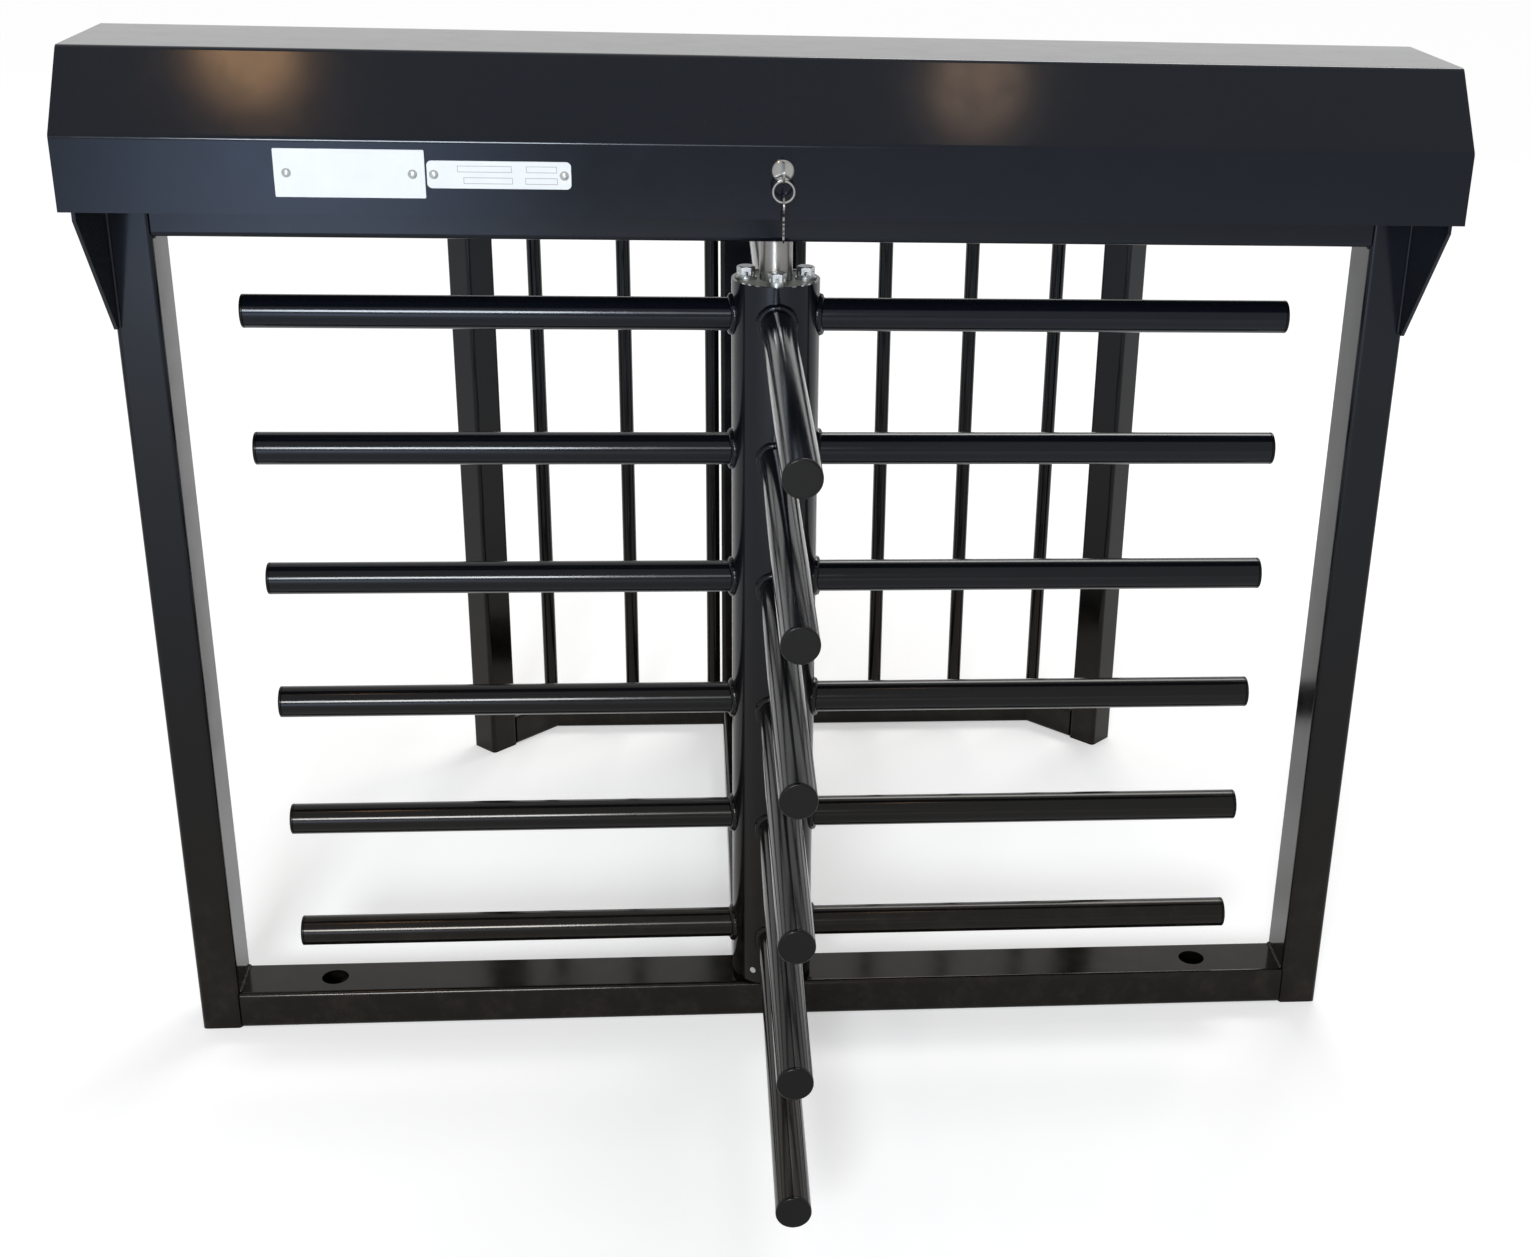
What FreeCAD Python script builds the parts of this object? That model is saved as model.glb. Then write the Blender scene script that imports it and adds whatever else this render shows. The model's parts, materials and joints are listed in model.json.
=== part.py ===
import FreeCAD, Part
import math
import os

# Half height turnstile: a tube portal with a hood over the mechanism, a four wing rotor,
# and a picket barrier behind it on a floor spine.
# Millimetres. +Z is up, +X runs along the portal, -Y is the front, where the lock and plates are.
# The origin is on the rotor axis, at floor level.

# Portal: base rail, two uprights and head rail, one size of rectangular tube
PORTAL_HEIGHT = 1066.0
TUBE_DEPTH = 75.0
TUBE_WIDTH = 50.0
TUBE_WALL = 3.0
TUBE_CORNER = 6.0
TIP_CLEARANCE = 80.0
ANCHOR_SPACING = 1130.0
ANCHOR_ACCESS_DIAMETER = 34.0
ANCHOR_HOLE_DIAMETER = 14.0
GUSSET_SHEET = 4.0
GUSSET_REACH = 115.0
GUSSET_DROP = 150.0
GUSSET_NOSE = 10.0
GUSSET_INSET = 1.0

# Rotor: column, four wings of arms, caps
ARM_REACH = 600.0
ARM_DIAMETER = 38.1
ARM_WALL = 2.5
ARM_COUNT = 6
WINGS = {"right": 0, "rear": 90, "left": 180, "front": 270}
TOP_ARM_DROP = 42.0
LOW_ARM_RISE = 65.0
CAP_FLANGE = 4.0
CAP_SPIGOT = 10.0
CAP_CHAMFER = 1.0
COLUMN_DIAMETER = 101.6
COLUMN_WALL = 4.0
COLUMN_HEAD_GAP = 48.0
COLUMN_FOOT_GAP = 6.0

# Shaft and the flange that bolts it to the column
SHAFT_DIAMETER = 38.0
SHAFT_FLANGE_SHEET = 12.0
RIM_SETBACK = 1.0
COLLAR_BORE = 46.0
FLANGE_BOLT_CIRCLE = 34.0
FLANGE_BOLT_COUNT = 4
FLANGE_BOLT_DIAMETER = 12.0
FLANGE_BOLT_FLATS = 18.0
FLANGE_BOLT_HEAD = 7.5
WASHER_DIAMETER = 24.0
WASHER_SHEET = 2.5
RAIL_SHAFT_GAP = 4.0

# Foot pivot
PIVOT_DIAMETER = 30.0
PIVOT_BASE_DIAMETER = 76.0
PIVOT_BASE_SHEET = 4.0
PIVOT_HEIGHT = 44.0
BUSH_WALL = 5.0
BUSH_LENGTH = 36.0
THRUST_SHEET = 2.0
FOOT_PLUG_HEIGHT = 26.0
FOOT_SCREW_COUNT = 3
FOOT_SCREW_DIAMETER = 8.0
FOOT_SCREW_HEAD = 14.0
FOOT_SCREW_HEAD_RISE = 5.0
FOOT_SCREW_SOCKET = 5.0
FOOT_SCREW_SOCKET_DEPTH = 2.5
FOOT_SCREW_TURN = 240.0

# Rear barrier on the floor spine
BARRIER_CLEARANCE = 260.0
BARRIER_HEIGHT = 1000.0
BARRIER_TUBE = 50.0
WING_RUN = 88.0
SPINE_WIDTH = 100.0
PICKET_DIAMETER = 22.0
PICKET_WALL = 2.5
PICKETS_LEFT = 3
PICKETS_RIGHT = 4
POST_GAP_LEFT = 3.0
POST_GAP_RIGHT = 12.0
POST_CAP_SHEET = 4.0
POST_CAP_SPIGOT = 12.0

# Hood of folded sheet over the chassis plate
HOOD_OVERHANG = 10.0
HOOD_WIDTH = 322.0
HOOD_WALL_HEIGHT = 77.0
HOOD_CHAMFER_RISE = 80.0
HOOD_CHAMFER_RUN = 67.0
HOOD_SHEET = 2.5
HOOD_BEND = 8.0
HOOD_LIFT = 0.5
SKIRT_GAP = 1.0
CHASSIS_SHEET = 5.0
CHASSIS_FLANGE_DROP = 32.0
CHASSIS_FLANGE_SHEET = 4.0
CHASSIS_SHAFT_GAP = 6.0
BUMPER_DIAMETER = 20.0
BUMPER_HEIGHT = 12.0
BUMPER_END_GAP = 240.0
REST_TAB_WIDTH = 34.0
REST_TAB_DEPTH = 30.0
REST_TAB_SHEET = 3.0
REST_TAB_RISE = 24.0

# Hood hinges, at the back
HINGE_SPACING = 900.0
HINGE_LENGTH = 90.0
HINGE_LEAF = 2.0
HINGE_LEAF_HEIGHT = 28.0
HINGE_KNUCKLE_RADIUS = 5.0
HINGE_PIN_DIAMETER = 4.0
HINGE_END_GAP = 0.4

# Bearing in its square flange, on the chassis plate
BEARING_OUTER_DIAMETER = 72.0
BEARING_HEIGHT = 18.0
BEARING_RACE_WALL = 6.0
ROLLER_COUNT = 16
ROLLER_SETBACK = 2.0
HOUSING_FLANGE = 116.0
HOUSING_FLANGE_SHEET = 12.0
HOUSING_CORNER = 16.0
HOUSING_BOSS_WALL = 8.0
HOUSING_LEDGE = 4.0
HOUSING_LIFT = 8.0
HOUSING_BOLT_SPACING = 86.0
HOUSING_BOLT_DIAMETER = 10.0
HOUSING_BOLT_FLATS = 16.0
HOUSING_BOLT_HEAD = 6.4

# Lock disc on the shaft
DISC_RADIUS = 80.0
DISC_SHEET = 10.0
DISC_SLOT_WIDTH = 22.0
DISC_SLOT_DEPTH = 14.0
DISC_HUB_DIAMETER = 64.0
DISC_HUB_HEIGHT = 24.0
DISC_BEARING_GAP = 6.0
KEY_WIDTH = 10.0
KEY_HEIGHT = 8.0
KEY_SETBACK = 2.0
COLLAR_HEIGHT = 12.0
COLLAR_WALL = 10.0
SHAFT_END = 4.0

# Pawls and the solenoids that work them
PAWL_REST_GAP = 4.0
PAWL_REACH = 70.0
PAWL_NOSE_LENGTH = 13.0
PAWL_NOSE_WIDTH = 14.0
PAWL_NOSE_SHIFT = 5.0
PAWL_BAR = 16.0
PAWL_BOSS_RADIUS = 16.0
PAWL_TAIL = 40.0
PAWL_TAIL_END = 9.0
PAWL_PIN_DIAMETER = 12.0
PAWL_POST_DIAMETER = 24.0
PAWL_POST_TOP = 6.0
CLEVIS_PIN_DIAMETER = 6.0
CLEVIS_SLOT_PLAY = 1.0
CLEVIS_CHEEK = 6.0
CLEVIS_WIDTH = 18.0
CLEVIS_LENGTH = 26.0
PLUNGER_DIAMETER = 12.0
PLUNGER_INSERTION = 30.0
PLUNGER_STROKE_ROOM = 15.0
SOLENOID_OFFSET = 38.0
SOLENOID_LENGTH = 60.0
SOLENOID_SIZE = 40.0
SOLENOID_FRAME = 4.0
COIL_GAP = 1.5
STAND_SHEET = 3.0

# Cam lock, its catch, and the keys
LOCK_RISE = 51.0
LOCK_COLLAR_DIAMETER = 23.0
LOCK_COLLAR_RISE = 4.0
LOCK_BODY_DIAMETER = 19.0
LOCK_BODY_LENGTH = 24.0
LOCK_NUT_FLATS = 24.0
LOCK_NUT_HEIGHT = 5.0
PLUG_DIAMETER = 13.0
PLUG_SETBACK = 0.6
TONGUE_LENGTH = 35.0
TONGUE_WIDTH = 14.0
TONGUE_SHEET = 3.0
TONGUE_SCREW_DIAMETER = 10.0
TONGUE_SCREW_HEAD = 3.0
CATCH_SHEET = 3.0
CATCH_WIDTH = 30.0
CATCH_GAP = 1.0
CATCH_WEB_GAP = 5.0
DOOR_KEY_SHEET = 2.0
DOOR_KEY_BOW_RADIUS = 11.5
DOOR_KEY_BLADE_WIDTH = 8.0
DOOR_KEY_TIP_GAP = 2.0
DOOR_KEY_HOLE_RADIUS = 3.0
DOOR_KEY_HOLE_REACH = 6.0
DOOR_KEY_HOLE_OFFSET = 2.5
DOOR_KEY_STANDOFF = 1.0
DOOR_KEY_CUTS = (1.8, 0.9, 1.5, 1.1)
DOOR_KEY_CUT_HALF = 1.4
RING_RADIUS = 11.0
RING_WIRE_WIDTH = 2.6
RING_WIRE_HEIGHT = 1.8

# Bare plates on the hood's front wall, and their rivets
LARGE_PLATE_WIDTH = 152.0
LARGE_PLATE_HEIGHT = 49.0
PLATE_END_GAP = 220.0
SMALL_PLATE_WIDTH = 147.0
SMALL_PLATE_HEIGHT = 28.0
PLATE_GAP = 2.0
PLATE_SHEET = 1.0
LARGE_PLATE_CORNER = 1.5
SMALL_PLATE_CORNER = 5.0
PLATE_RISE = 43.0
RIVET_HEAD_DIAMETER = 9.5
RIVET_HEAD_RISE = 1.8
RIVET_HOLE_DIAMETER = 2.8
RIVET_HOLE_DEPTH = 1.2
LARGE_PLATE_RIVET_INSET = 12.5
SMALL_PLATE_RIVET_INSET = 7.0

# Clearances
RUNNING_GAP = 0.05
SEAT_GAP = 0.2
KEYWAY_GAP = 0.1

# Places worked out from the sizes above
X_AXIS = FreeCAD.Vector(1, 0, 0)
Y_AXIS = FreeCAD.Vector(0, 1, 0)
Z_AXIS = FreeCAD.Vector(0, 0, 1)
ORIGIN = FreeCAD.Vector(0, 0, 0)

OPENING_HALF = ARM_REACH + TIP_CLEARANCE
PORTAL_HALF = OPENING_HALF + TUBE_WIDTH
HEAD_RAIL_BOTTOM = PORTAL_HEIGHT - TUBE_WIDTH
COLUMN_FOOT = TUBE_WIDTH + COLUMN_FOOT_GAP
COLUMN_TOP = HEAD_RAIL_BOTTOM - COLUMN_HEAD_GAP
COLUMN_BORE = COLUMN_DIAMETER - 2 * COLUMN_WALL
TOP_ARM = COLUMN_TOP - TOP_ARM_DROP
ARM_PITCH = (TOP_ARM - COLUMN_FOOT - LOW_ARM_RISE) / (ARM_COUNT - 1)
ARM_HEIGHTS = [TOP_ARM - ARM_PITCH * i for i in range(ARM_COUNT)]

FLANGE_TOP = COLUMN_TOP - RIM_SETBACK
FLANGE_BOTTOM = FLANGE_TOP - SHAFT_FLANGE_SHEET
SHAFT_RADIUS = SHAFT_DIAMETER / 2

PIVOT_BASE_TOP = TUBE_WIDTH + PIVOT_BASE_SHEET
BUSH_BOTTOM = PIVOT_BASE_TOP + THRUST_SHEET + RUNNING_GAP
FOOT_PLUG_BOTTOM = BUSH_BOTTOM + BUSH_WALL
BUSH_BORE_RADIUS = PIVOT_DIAMETER / 2 + RUNNING_GAP
BUSH_RADIUS = BUSH_BORE_RADIUS + BUSH_WALL

BARRIER_FRONT = ARM_REACH + BARRIER_CLEARANCE
BARRIER_LINE = BARRIER_FRONT + BARRIER_TUBE / 2
PICKET_PITCH = SPINE_WIDTH + POST_GAP_LEFT + POST_GAP_RIGHT + PICKET_DIAMETER
FIRST_RIGHT_PICKET = SPINE_WIDTH / 2 + POST_GAP_RIGHT + PICKET_DIAMETER / 2
PICKET_PLACES = [FIRST_RIGHT_PICKET + PICKET_PITCH * i for i in range(-PICKETS_LEFT, PICKETS_RIGHT)]
LEFT_CORNER = PICKET_PLACES[0]
RIGHT_CORNER = PICKET_PLACES[-1]

HOOD_HALF_LENGTH = PORTAL_HALF + HOOD_OVERHANG
HOOD_HALF_WIDTH = HOOD_WIDTH / 2
HOOD_BOTTOM = PORTAL_HEIGHT + HOOD_LIFT
HOOD_RIDGE = HOOD_BOTTOM + HOOD_WALL_HEIGHT
HOOD_TOP = HOOD_RIDGE + HOOD_CHAMFER_RISE
HOOD_FRONT = -HOOD_HALF_WIDTH
HOOD_FRONT_INSIDE = HOOD_FRONT + HOOD_SHEET
CHASSIS_TOP = PORTAL_HEIGHT + CHASSIS_SHEET
CHASSIS_HALF_LENGTH = HOOD_HALF_LENGTH - HOOD_SHEET - SKIRT_GAP
REAR_WALL_BOTTOM = CHASSIS_TOP + HOOD_LIFT
HINGE_Y = HOOD_HALF_WIDTH + HINGE_KNUCKLE_RADIUS
HINGE_Z = REAR_WALL_BOTTOM

HOUSING_BORE_BOTTOM = CHASSIS_TOP + HOUSING_LIFT
HOUSING_TOP = HOUSING_BORE_BOTTOM + HOUSING_LEDGE + BEARING_HEIGHT
BEARING_BOTTOM = HOUSING_BORE_BOTTOM + HOUSING_LEDGE
DISC_HUB_BOTTOM = HOUSING_TOP + DISC_BEARING_GAP
DISC_BOTTOM = DISC_HUB_BOTTOM + (DISC_HUB_HEIGHT - DISC_SHEET) / 2
DISC_TOP = DISC_BOTTOM + DISC_SHEET
DISC_HUB_TOP = DISC_HUB_BOTTOM + DISC_HUB_HEIGHT
SHAFT_TOP = DISC_HUB_TOP + COLLAR_HEIGHT + SHAFT_END

PAWL_X = DISC_RADIUS + PAWL_REST_GAP + PAWL_NOSE_LENGTH + PAWL_BAR / 2
PAWL_Y = -PAWL_REACH
TAIL_PIN_Y = PAWL_Y - PAWL_TAIL
PAWL_MIDDLE = (DISC_BOTTOM + DISC_TOP) / 2
SOLENOID_X = PAWL_X + SOLENOID_OFFSET
STAND_TOP = PAWL_MIDDLE - SOLENOID_SIZE / 2

LARGE_PLATE_X = PLATE_END_GAP + LARGE_PLATE_WIDTH / 2 - HOOD_HALF_LENGTH
SMALL_PLATE_X = LARGE_PLATE_X + (LARGE_PLATE_WIDTH + SMALL_PLATE_WIDTH) / 2 + PLATE_GAP

LOCK_Z = HOOD_BOTTOM + LOCK_RISE
LOCK_FACE = HOOD_FRONT - LOCK_COLLAR_RISE
LOCK_BACK = HOOD_FRONT + LOCK_BODY_LENGTH
TONGUE_FRONT = LOCK_BACK + SEAT_GAP
TONGUE_BACK = TONGUE_FRONT + TONGUE_SHEET
DOOR_KEY_BOW_END = DOOR_KEY_HOLE_OFFSET + DOOR_KEY_BOW_RADIUS
DOOR_KEY_Y = LOCK_FACE - DOOR_KEY_STANDOFF - DOOR_KEY_BOW_END
DOOR_KEY_BLADE_LENGTH = DOOR_KEY_STANDOFF + LOCK_COLLAR_RISE + LOCK_BODY_LENGTH - DOOR_KEY_TIP_GAP
RING_HANG = DOOR_KEY_HOLE_RADIUS - math.hypot(RING_WIRE_WIDTH, RING_WIRE_HEIGHT) / 2 - KEYWAY_GAP
RING_TOP = LOCK_Z - DOOR_KEY_HOLE_REACH - RING_HANG
RING_BOTTOM = RING_TOP - 2 * RING_RADIUS


def block(low, high):
    """Box between two opposite corners."""
    size = high - low
    return Part.makeBox(size.x, size.y, size.z, low)


def cylinder(radius, start, end):
    """Solid round bar between two points."""
    axis = end - start
    return Part.makeCylinder(radius, axis.Length, start, axis)


def ring(outer_radius, inner_radius, bottom, top):
    """Upright ring about the rotor axis."""
    outer = cylinder(outer_radius, Z_AXIS * bottom, Z_AXIS * top)
    return outer.cut(cylinder(inner_radius, Z_AXIS * bottom, Z_AXIS * top))


def prism(points, extrusion):
    """Straight sided outline, extruded."""
    wire = Part.makePolygon(points + [points[0]])
    return Part.Face(wire).extrude(extrusion)


def hexagon(flats, height, base, axis):
    """Hexagon prism with its first corner across the axis."""
    corner_radius = flats / math.sqrt(3)
    side = axis.cross(Z_AXIS) if abs(axis.z) < 0.5 else Y_AXIS
    turn = FreeCAD.Rotation(axis, 60)
    spoke = side * corner_radius
    points = []
    for _ in range(6):
        points.append(base + spoke)
        spoke = turn.multVec(spoke)
    return prism(points, axis * height)


def oriented(shape, start, along, up):
    """Moves a shape drawn along +X, with +Z up, to a start point and directions."""
    side = up.cross(along)
    shape.Placement = FreeCAD.Placement(FreeCAD.Matrix(
        along.x, side.x, up.x, start.x,
        along.y, side.y, up.y, start.y,
        along.z, side.z, up.z, start.z,
        0, 0, 0, 1))
    return shape


def round_bar(length, width, height, corner):
    """Rectangular bar along +X, with its long edges rounded."""
    low = FreeCAD.Vector(0, -width / 2, -height / 2)
    bar = block(low, FreeCAD.Vector(length, width / 2, height / 2))
    long_edges = [e for e in bar.Edges if abs(e.tangentAt(e.FirstParameter).x) > 0.9]
    return bar.makeFillet(corner, long_edges)


def tube(start, end, width, height, up):
    """Rectangular tube between two points: height is measured along up, width across it."""
    run = end - start
    outer = round_bar(run.Length, width, height, TUBE_CORNER)
    bore_width = width - 2 * TUBE_WALL
    bore_height = height - 2 * TUBE_WALL
    bore = round_bar(run.Length, bore_width, bore_height, TUBE_CORNER - TUBE_WALL)
    return oriented(outer.cut(bore), start, run.normalize(), up)


def mirrored(shape):
    """The same piece on the other side of the rotor axis."""
    return shape.mirror(ORIGIN, X_AXIS)


def around_rotor(shape, angle):
    """Copy of a piece, turned about the rotor axis."""
    copy = shape.copy()
    copy.rotate(ORIGIN, Z_AXIS, angle)
    return copy


def group(shapes):
    """Several separate solids in one node."""
    return Part.makeCompound(shapes)


def both_sides(shapes):
    """Right hand pieces together with their left hand twins, in one node."""
    return group(shapes + [mirrored(shape) for shape in shapes])


# Portal

def base_rail():
    """Floor tube between the uprights, with access and anchor holes."""
    half = FreeCAD.Vector(OPENING_HALF, 0, 0)
    middle = Z_AXIS * (TUBE_WIDTH / 2)
    rail = tube(middle - half, middle + half, TUBE_DEPTH, TUBE_WIDTH, Z_AXIS)
    for side in (-1, 1):
        foot = FreeCAD.Vector(side * ANCHOR_SPACING / 2, 0, 0)
        centre = foot + middle
        rail = rail.cut(cylinder(ANCHOR_ACCESS_DIAMETER / 2, centre, foot + Z_AXIS * TUBE_WIDTH))
        rail = rail.cut(cylinder(ANCHOR_HOLE_DIAMETER / 2, foot, centre))
    return rail


def right_upright():
    """Tube from the floor to the chassis plate."""
    foot = FreeCAD.Vector(OPENING_HALF + TUBE_WIDTH / 2, 0, 0)
    return tube(foot, foot + Z_AXIS * PORTAL_HEIGHT, TUBE_WIDTH, TUBE_DEPTH, Y_AXIS)


def head_rail():
    """Tube under the chassis plate, bored for the shaft."""
    half = FreeCAD.Vector(OPENING_HALF, 0, 0)
    middle = Z_AXIS * (HEAD_RAIL_BOTTOM + TUBE_WIDTH / 2)
    rail = tube(middle - half, middle + half, TUBE_DEPTH, TUBE_WIDTH, Z_AXIS)
    bore_radius = SHAFT_RADIUS + RAIL_SHAFT_GAP
    return rail.cut(cylinder(bore_radius, Z_AXIS * HEAD_RAIL_BOTTOM, Z_AXIS * PORTAL_HEIGHT))


def gusset(facing):
    """Triangular plate under the hood, at the outer edge of the right upright's front (-1) or back (1)."""
    x = PORTAL_HALF - GUSSET_INSET - GUSSET_SHEET
    face = facing * TUBE_DEPTH / 2
    root = face - facing * TUBE_CORNER
    tip = face + facing * GUSSET_REACH
    points = [
        FreeCAD.Vector(x, root, PORTAL_HEIGHT),
        FreeCAD.Vector(x, tip, PORTAL_HEIGHT),
        FreeCAD.Vector(x, tip, PORTAL_HEIGHT - GUSSET_NOSE),
        FreeCAD.Vector(x, face + facing * GUSSET_NOSE, PORTAL_HEIGHT - GUSSET_DROP),
        FreeCAD.Vector(x, root, PORTAL_HEIGHT - GUSSET_DROP),
    ]
    foot = FreeCAD.Vector(OPENING_HALF + TUBE_WIDTH / 2, 0, 0)
    post = oriented(round_bar(PORTAL_HEIGHT, TUBE_WIDTH, TUBE_DEPTH, TUBE_CORNER), foot, Z_AXIS, Y_AXIS)
    return prism(points, X_AXIS * GUSSET_SHEET).cut(post)


# Rear barrier

def spine_rail():
    """Floor tube from the base rail back to the barrier."""
    middle = Z_AXIS * (TUBE_WIDTH / 2)
    start = middle + Y_AXIS * (TUBE_DEPTH / 2)
    return tube(start, middle + Y_AXIS * BARRIER_FRONT, SPINE_WIDTH, TUBE_WIDTH, Z_AXIS)


def mitre_cutter(corner_x, outward):
    """Block beyond the plane where a straight rail meets its slanted wing."""
    reach = 4 * BARRIER_TUBE
    normal = FreeCAD.Vector(outward * math.cos(math.radians(22.5)), -math.sin(math.radians(22.5)), 0)
    cutter = block(FreeCAD.Vector(0, -reach, -BARRIER_HEIGHT), FreeCAD.Vector(reach, reach, 2 * BARRIER_HEIGHT))
    return oriented(cutter, FreeCAD.Vector(corner_x, BARRIER_LINE, 0), normal, Z_AXIS)


def barrier_rail(height):
    """Straight tube of the barrier, mitred at both ends."""
    overrun = BARRIER_TUBE
    start = FreeCAD.Vector(LEFT_CORNER - overrun, BARRIER_LINE, height)
    end = FreeCAD.Vector(RIGHT_CORNER + overrun, BARRIER_LINE, height)
    rail = tube(start, end, BARRIER_TUBE, BARRIER_TUBE, Z_AXIS)
    return rail.cut(mitre_cutter(LEFT_CORNER, -1)).cut(mitre_cutter(RIGHT_CORNER, 1))


def post_centre(side):
    """Middle of an end post's foot."""
    corner = RIGHT_CORNER if side > 0 else LEFT_CORNER
    return FreeCAD.Vector(corner + side * WING_RUN, BARRIER_LINE - WING_RUN, 0)


def barrier_wing(side, height):
    """Slanted tube from the end post back to the mitred corner."""
    corner = RIGHT_CORNER if side > 0 else LEFT_CORNER
    along = FreeCAD.Vector(-side, 1, 0).normalize()
    start = post_centre(side) + along * (BARRIER_TUBE / 2) + Z_AXIS * height
    end = FreeCAD.Vector(corner, BARRIER_LINE, height) + along * BARRIER_TUBE
    wing = tube(start, end, BARRIER_TUBE, BARRIER_TUBE, Z_AXIS)
    keep = mitre_cutter(corner, side)
    return wing.common(keep)


def end_post(side):
    """Square tube turned corner to the front."""
    foot = post_centre(side)
    slant = FreeCAD.Vector(side, 1, 0).normalize()
    return tube(foot, foot + Z_AXIS * BARRIER_HEIGHT, BARRIER_TUBE, BARRIER_TUBE, slant)


def post_cap(side):
    """Plug that closes an end post."""
    top = post_centre(side) + Z_AXIS * BARRIER_HEIGHT
    slant = FreeCAD.Vector(side, 1, 0).normalize()
    bore = BARRIER_TUBE - 2 * TUBE_WALL - 2 * SEAT_GAP
    flange = round_bar(POST_CAP_SHEET, BARRIER_TUBE, BARRIER_TUBE, TUBE_CORNER)
    spigot = round_bar(POST_CAP_SPIGOT, bore, bore, TUBE_CORNER - TUBE_WALL)
    spigot.translate(X_AXIS * -POST_CAP_SPIGOT)
    return oriented(flange.fuse(spigot), top, Z_AXIS, slant)


def centre_post():
    """Tube between the barrier's rails, over the end of the spine."""
    foot = FreeCAD.Vector(0, BARRIER_LINE, BARRIER_TUBE)
    top = FreeCAD.Vector(0, BARRIER_LINE, BARRIER_HEIGHT - BARRIER_TUBE)
    return tube(foot, top, SPINE_WIDTH, BARRIER_TUBE, Y_AXIS)


def pickets():
    """Round tubes between the barrier's rails, one on each mitred corner."""
    bars = []
    for x in PICKET_PLACES:
        foot = FreeCAD.Vector(x, BARRIER_LINE, BARRIER_TUBE)
        top = FreeCAD.Vector(x, BARRIER_LINE, BARRIER_HEIGHT - BARRIER_TUBE)
        bar = cylinder(PICKET_DIAMETER / 2, foot, top)
        bars.append(bar.cut(cylinder(PICKET_DIAMETER / 2 - PICKET_WALL, foot, top)))
    return group(bars)


# Rotor

def column():
    """Round tube that carries the wings, drilled for the foot screws."""
    tube_wall = ring(COLUMN_DIAMETER / 2, COLUMN_BORE / 2, COLUMN_FOOT, COLUMN_TOP)
    for hole in foot_screw_holes():
        tube_wall = tube_wall.cut(hole)
    return tube_wall


def wing_arms(angle):
    """The arms of one wing, coped to the column."""
    cope = cylinder(COLUMN_DIAMETER / 2, ORIGIN, Z_AXIS * COLUMN_TOP)
    arms = []
    for height in ARM_HEIGHTS:
        start = Z_AXIS * height
        end = start + X_AXIS * (ARM_REACH - CAP_FLANGE)
        arm = cylinder(ARM_DIAMETER / 2, start, end)
        arm = arm.cut(cylinder(ARM_DIAMETER / 2 - ARM_WALL, start, end))
        arms.append(around_rotor(arm.cut(cope), angle))
    return arms


def arm_cap(height):
    """Plug at the end of an arm, with a flange chamfered on both sides and a spigot in the bore."""
    seat = FreeCAD.Vector(ARM_REACH - CAP_FLANGE, 0, height)
    face = seat + X_AXIS * CAP_FLANGE
    flange = cylinder(ARM_DIAMETER / 2, seat, face)
    rims = [edge for edge in flange.Edges if edge.Closed]
    flange = flange.makeChamfer(CAP_CHAMFER, rims)
    bore_radius = ARM_DIAMETER / 2 - ARM_WALL - SEAT_GAP
    return flange.fuse(cylinder(bore_radius, seat - X_AXIS * CAP_SPIGOT, seat))


def wing_caps(angle):
    """The caps of one wing."""
    return [around_rotor(arm_cap(height), angle) for height in ARM_HEIGHTS]


def bolt_circle(count, radius, first_angle):
    """Points evenly spaced about the rotor axis."""
    angles = [math.radians(first_angle + 360.0 / count * i) for i in range(count)]
    return [FreeCAD.Vector(radius * math.cos(a), radius * math.sin(a), 0) for a in angles]


def flange_points():
    """Places of the flange bolts."""
    return bolt_circle(FLANGE_BOLT_COUNT, FLANGE_BOLT_CIRCLE, 0)


def flange_holes(shape):
    """Drills the bolt holes of the shaft flange."""
    for point in flange_points():
        radius = FLANGE_BOLT_DIAMETER / 2 + RUNNING_GAP
        shape = shape.cut(cylinder(radius, point, point + Z_AXIS * SHAFT_TOP))
    return shape


def column_collar():
    """Ring welded in the column, which takes the flange bolts."""
    bottom = FLANGE_BOTTOM - SHAFT_FLANGE_SHEET
    return flange_holes(ring(COLUMN_BORE / 2, COLLAR_BORE / 2, bottom, FLANGE_BOTTOM))


def shaft_flange():
    """Bare plate in the column's mouth, around the shaft."""
    return flange_holes(ring(COLUMN_BORE / 2, SHAFT_RADIUS, FLANGE_BOTTOM, FLANGE_TOP))


def flange_washers():
    """Plain washers under the bolt heads."""
    washers = []
    for point in flange_points():
        washer = ring(WASHER_DIAMETER / 2, FLANGE_BOLT_DIAMETER / 2 + RUNNING_GAP,
                      FLANGE_TOP, FLANGE_TOP + WASHER_SHEET)
        washer.translate(point)
        washers.append(washer)
    return group(washers)


def hex_bolt(flats, head, diameter, base, length):
    """Hexagon bolt with a chamfered head, upright, its shank below the base point."""
    blank = hexagon(flats, head, base, Z_AXIS)
    face_radius = flats / 2 * 0.95
    chamfer = Part.makeCone(face_radius + head * math.tan(math.radians(60)), face_radius, head, base, Z_AXIS)
    body = blank.common(chamfer)
    return body.fuse(cylinder(diameter / 2, base - Z_AXIS * length, base))


def flange_bolts():
    """Bolts through the shaft flange into the collar."""
    length = WASHER_SHEET + 2 * SHAFT_FLANGE_SHEET
    seat = Z_AXIS * (FLANGE_TOP + WASHER_SHEET)
    return group([
        hex_bolt(FLANGE_BOLT_FLATS, FLANGE_BOLT_HEAD, FLANGE_BOLT_DIAMETER, point + seat, length)
        for point in flange_points()])


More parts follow.
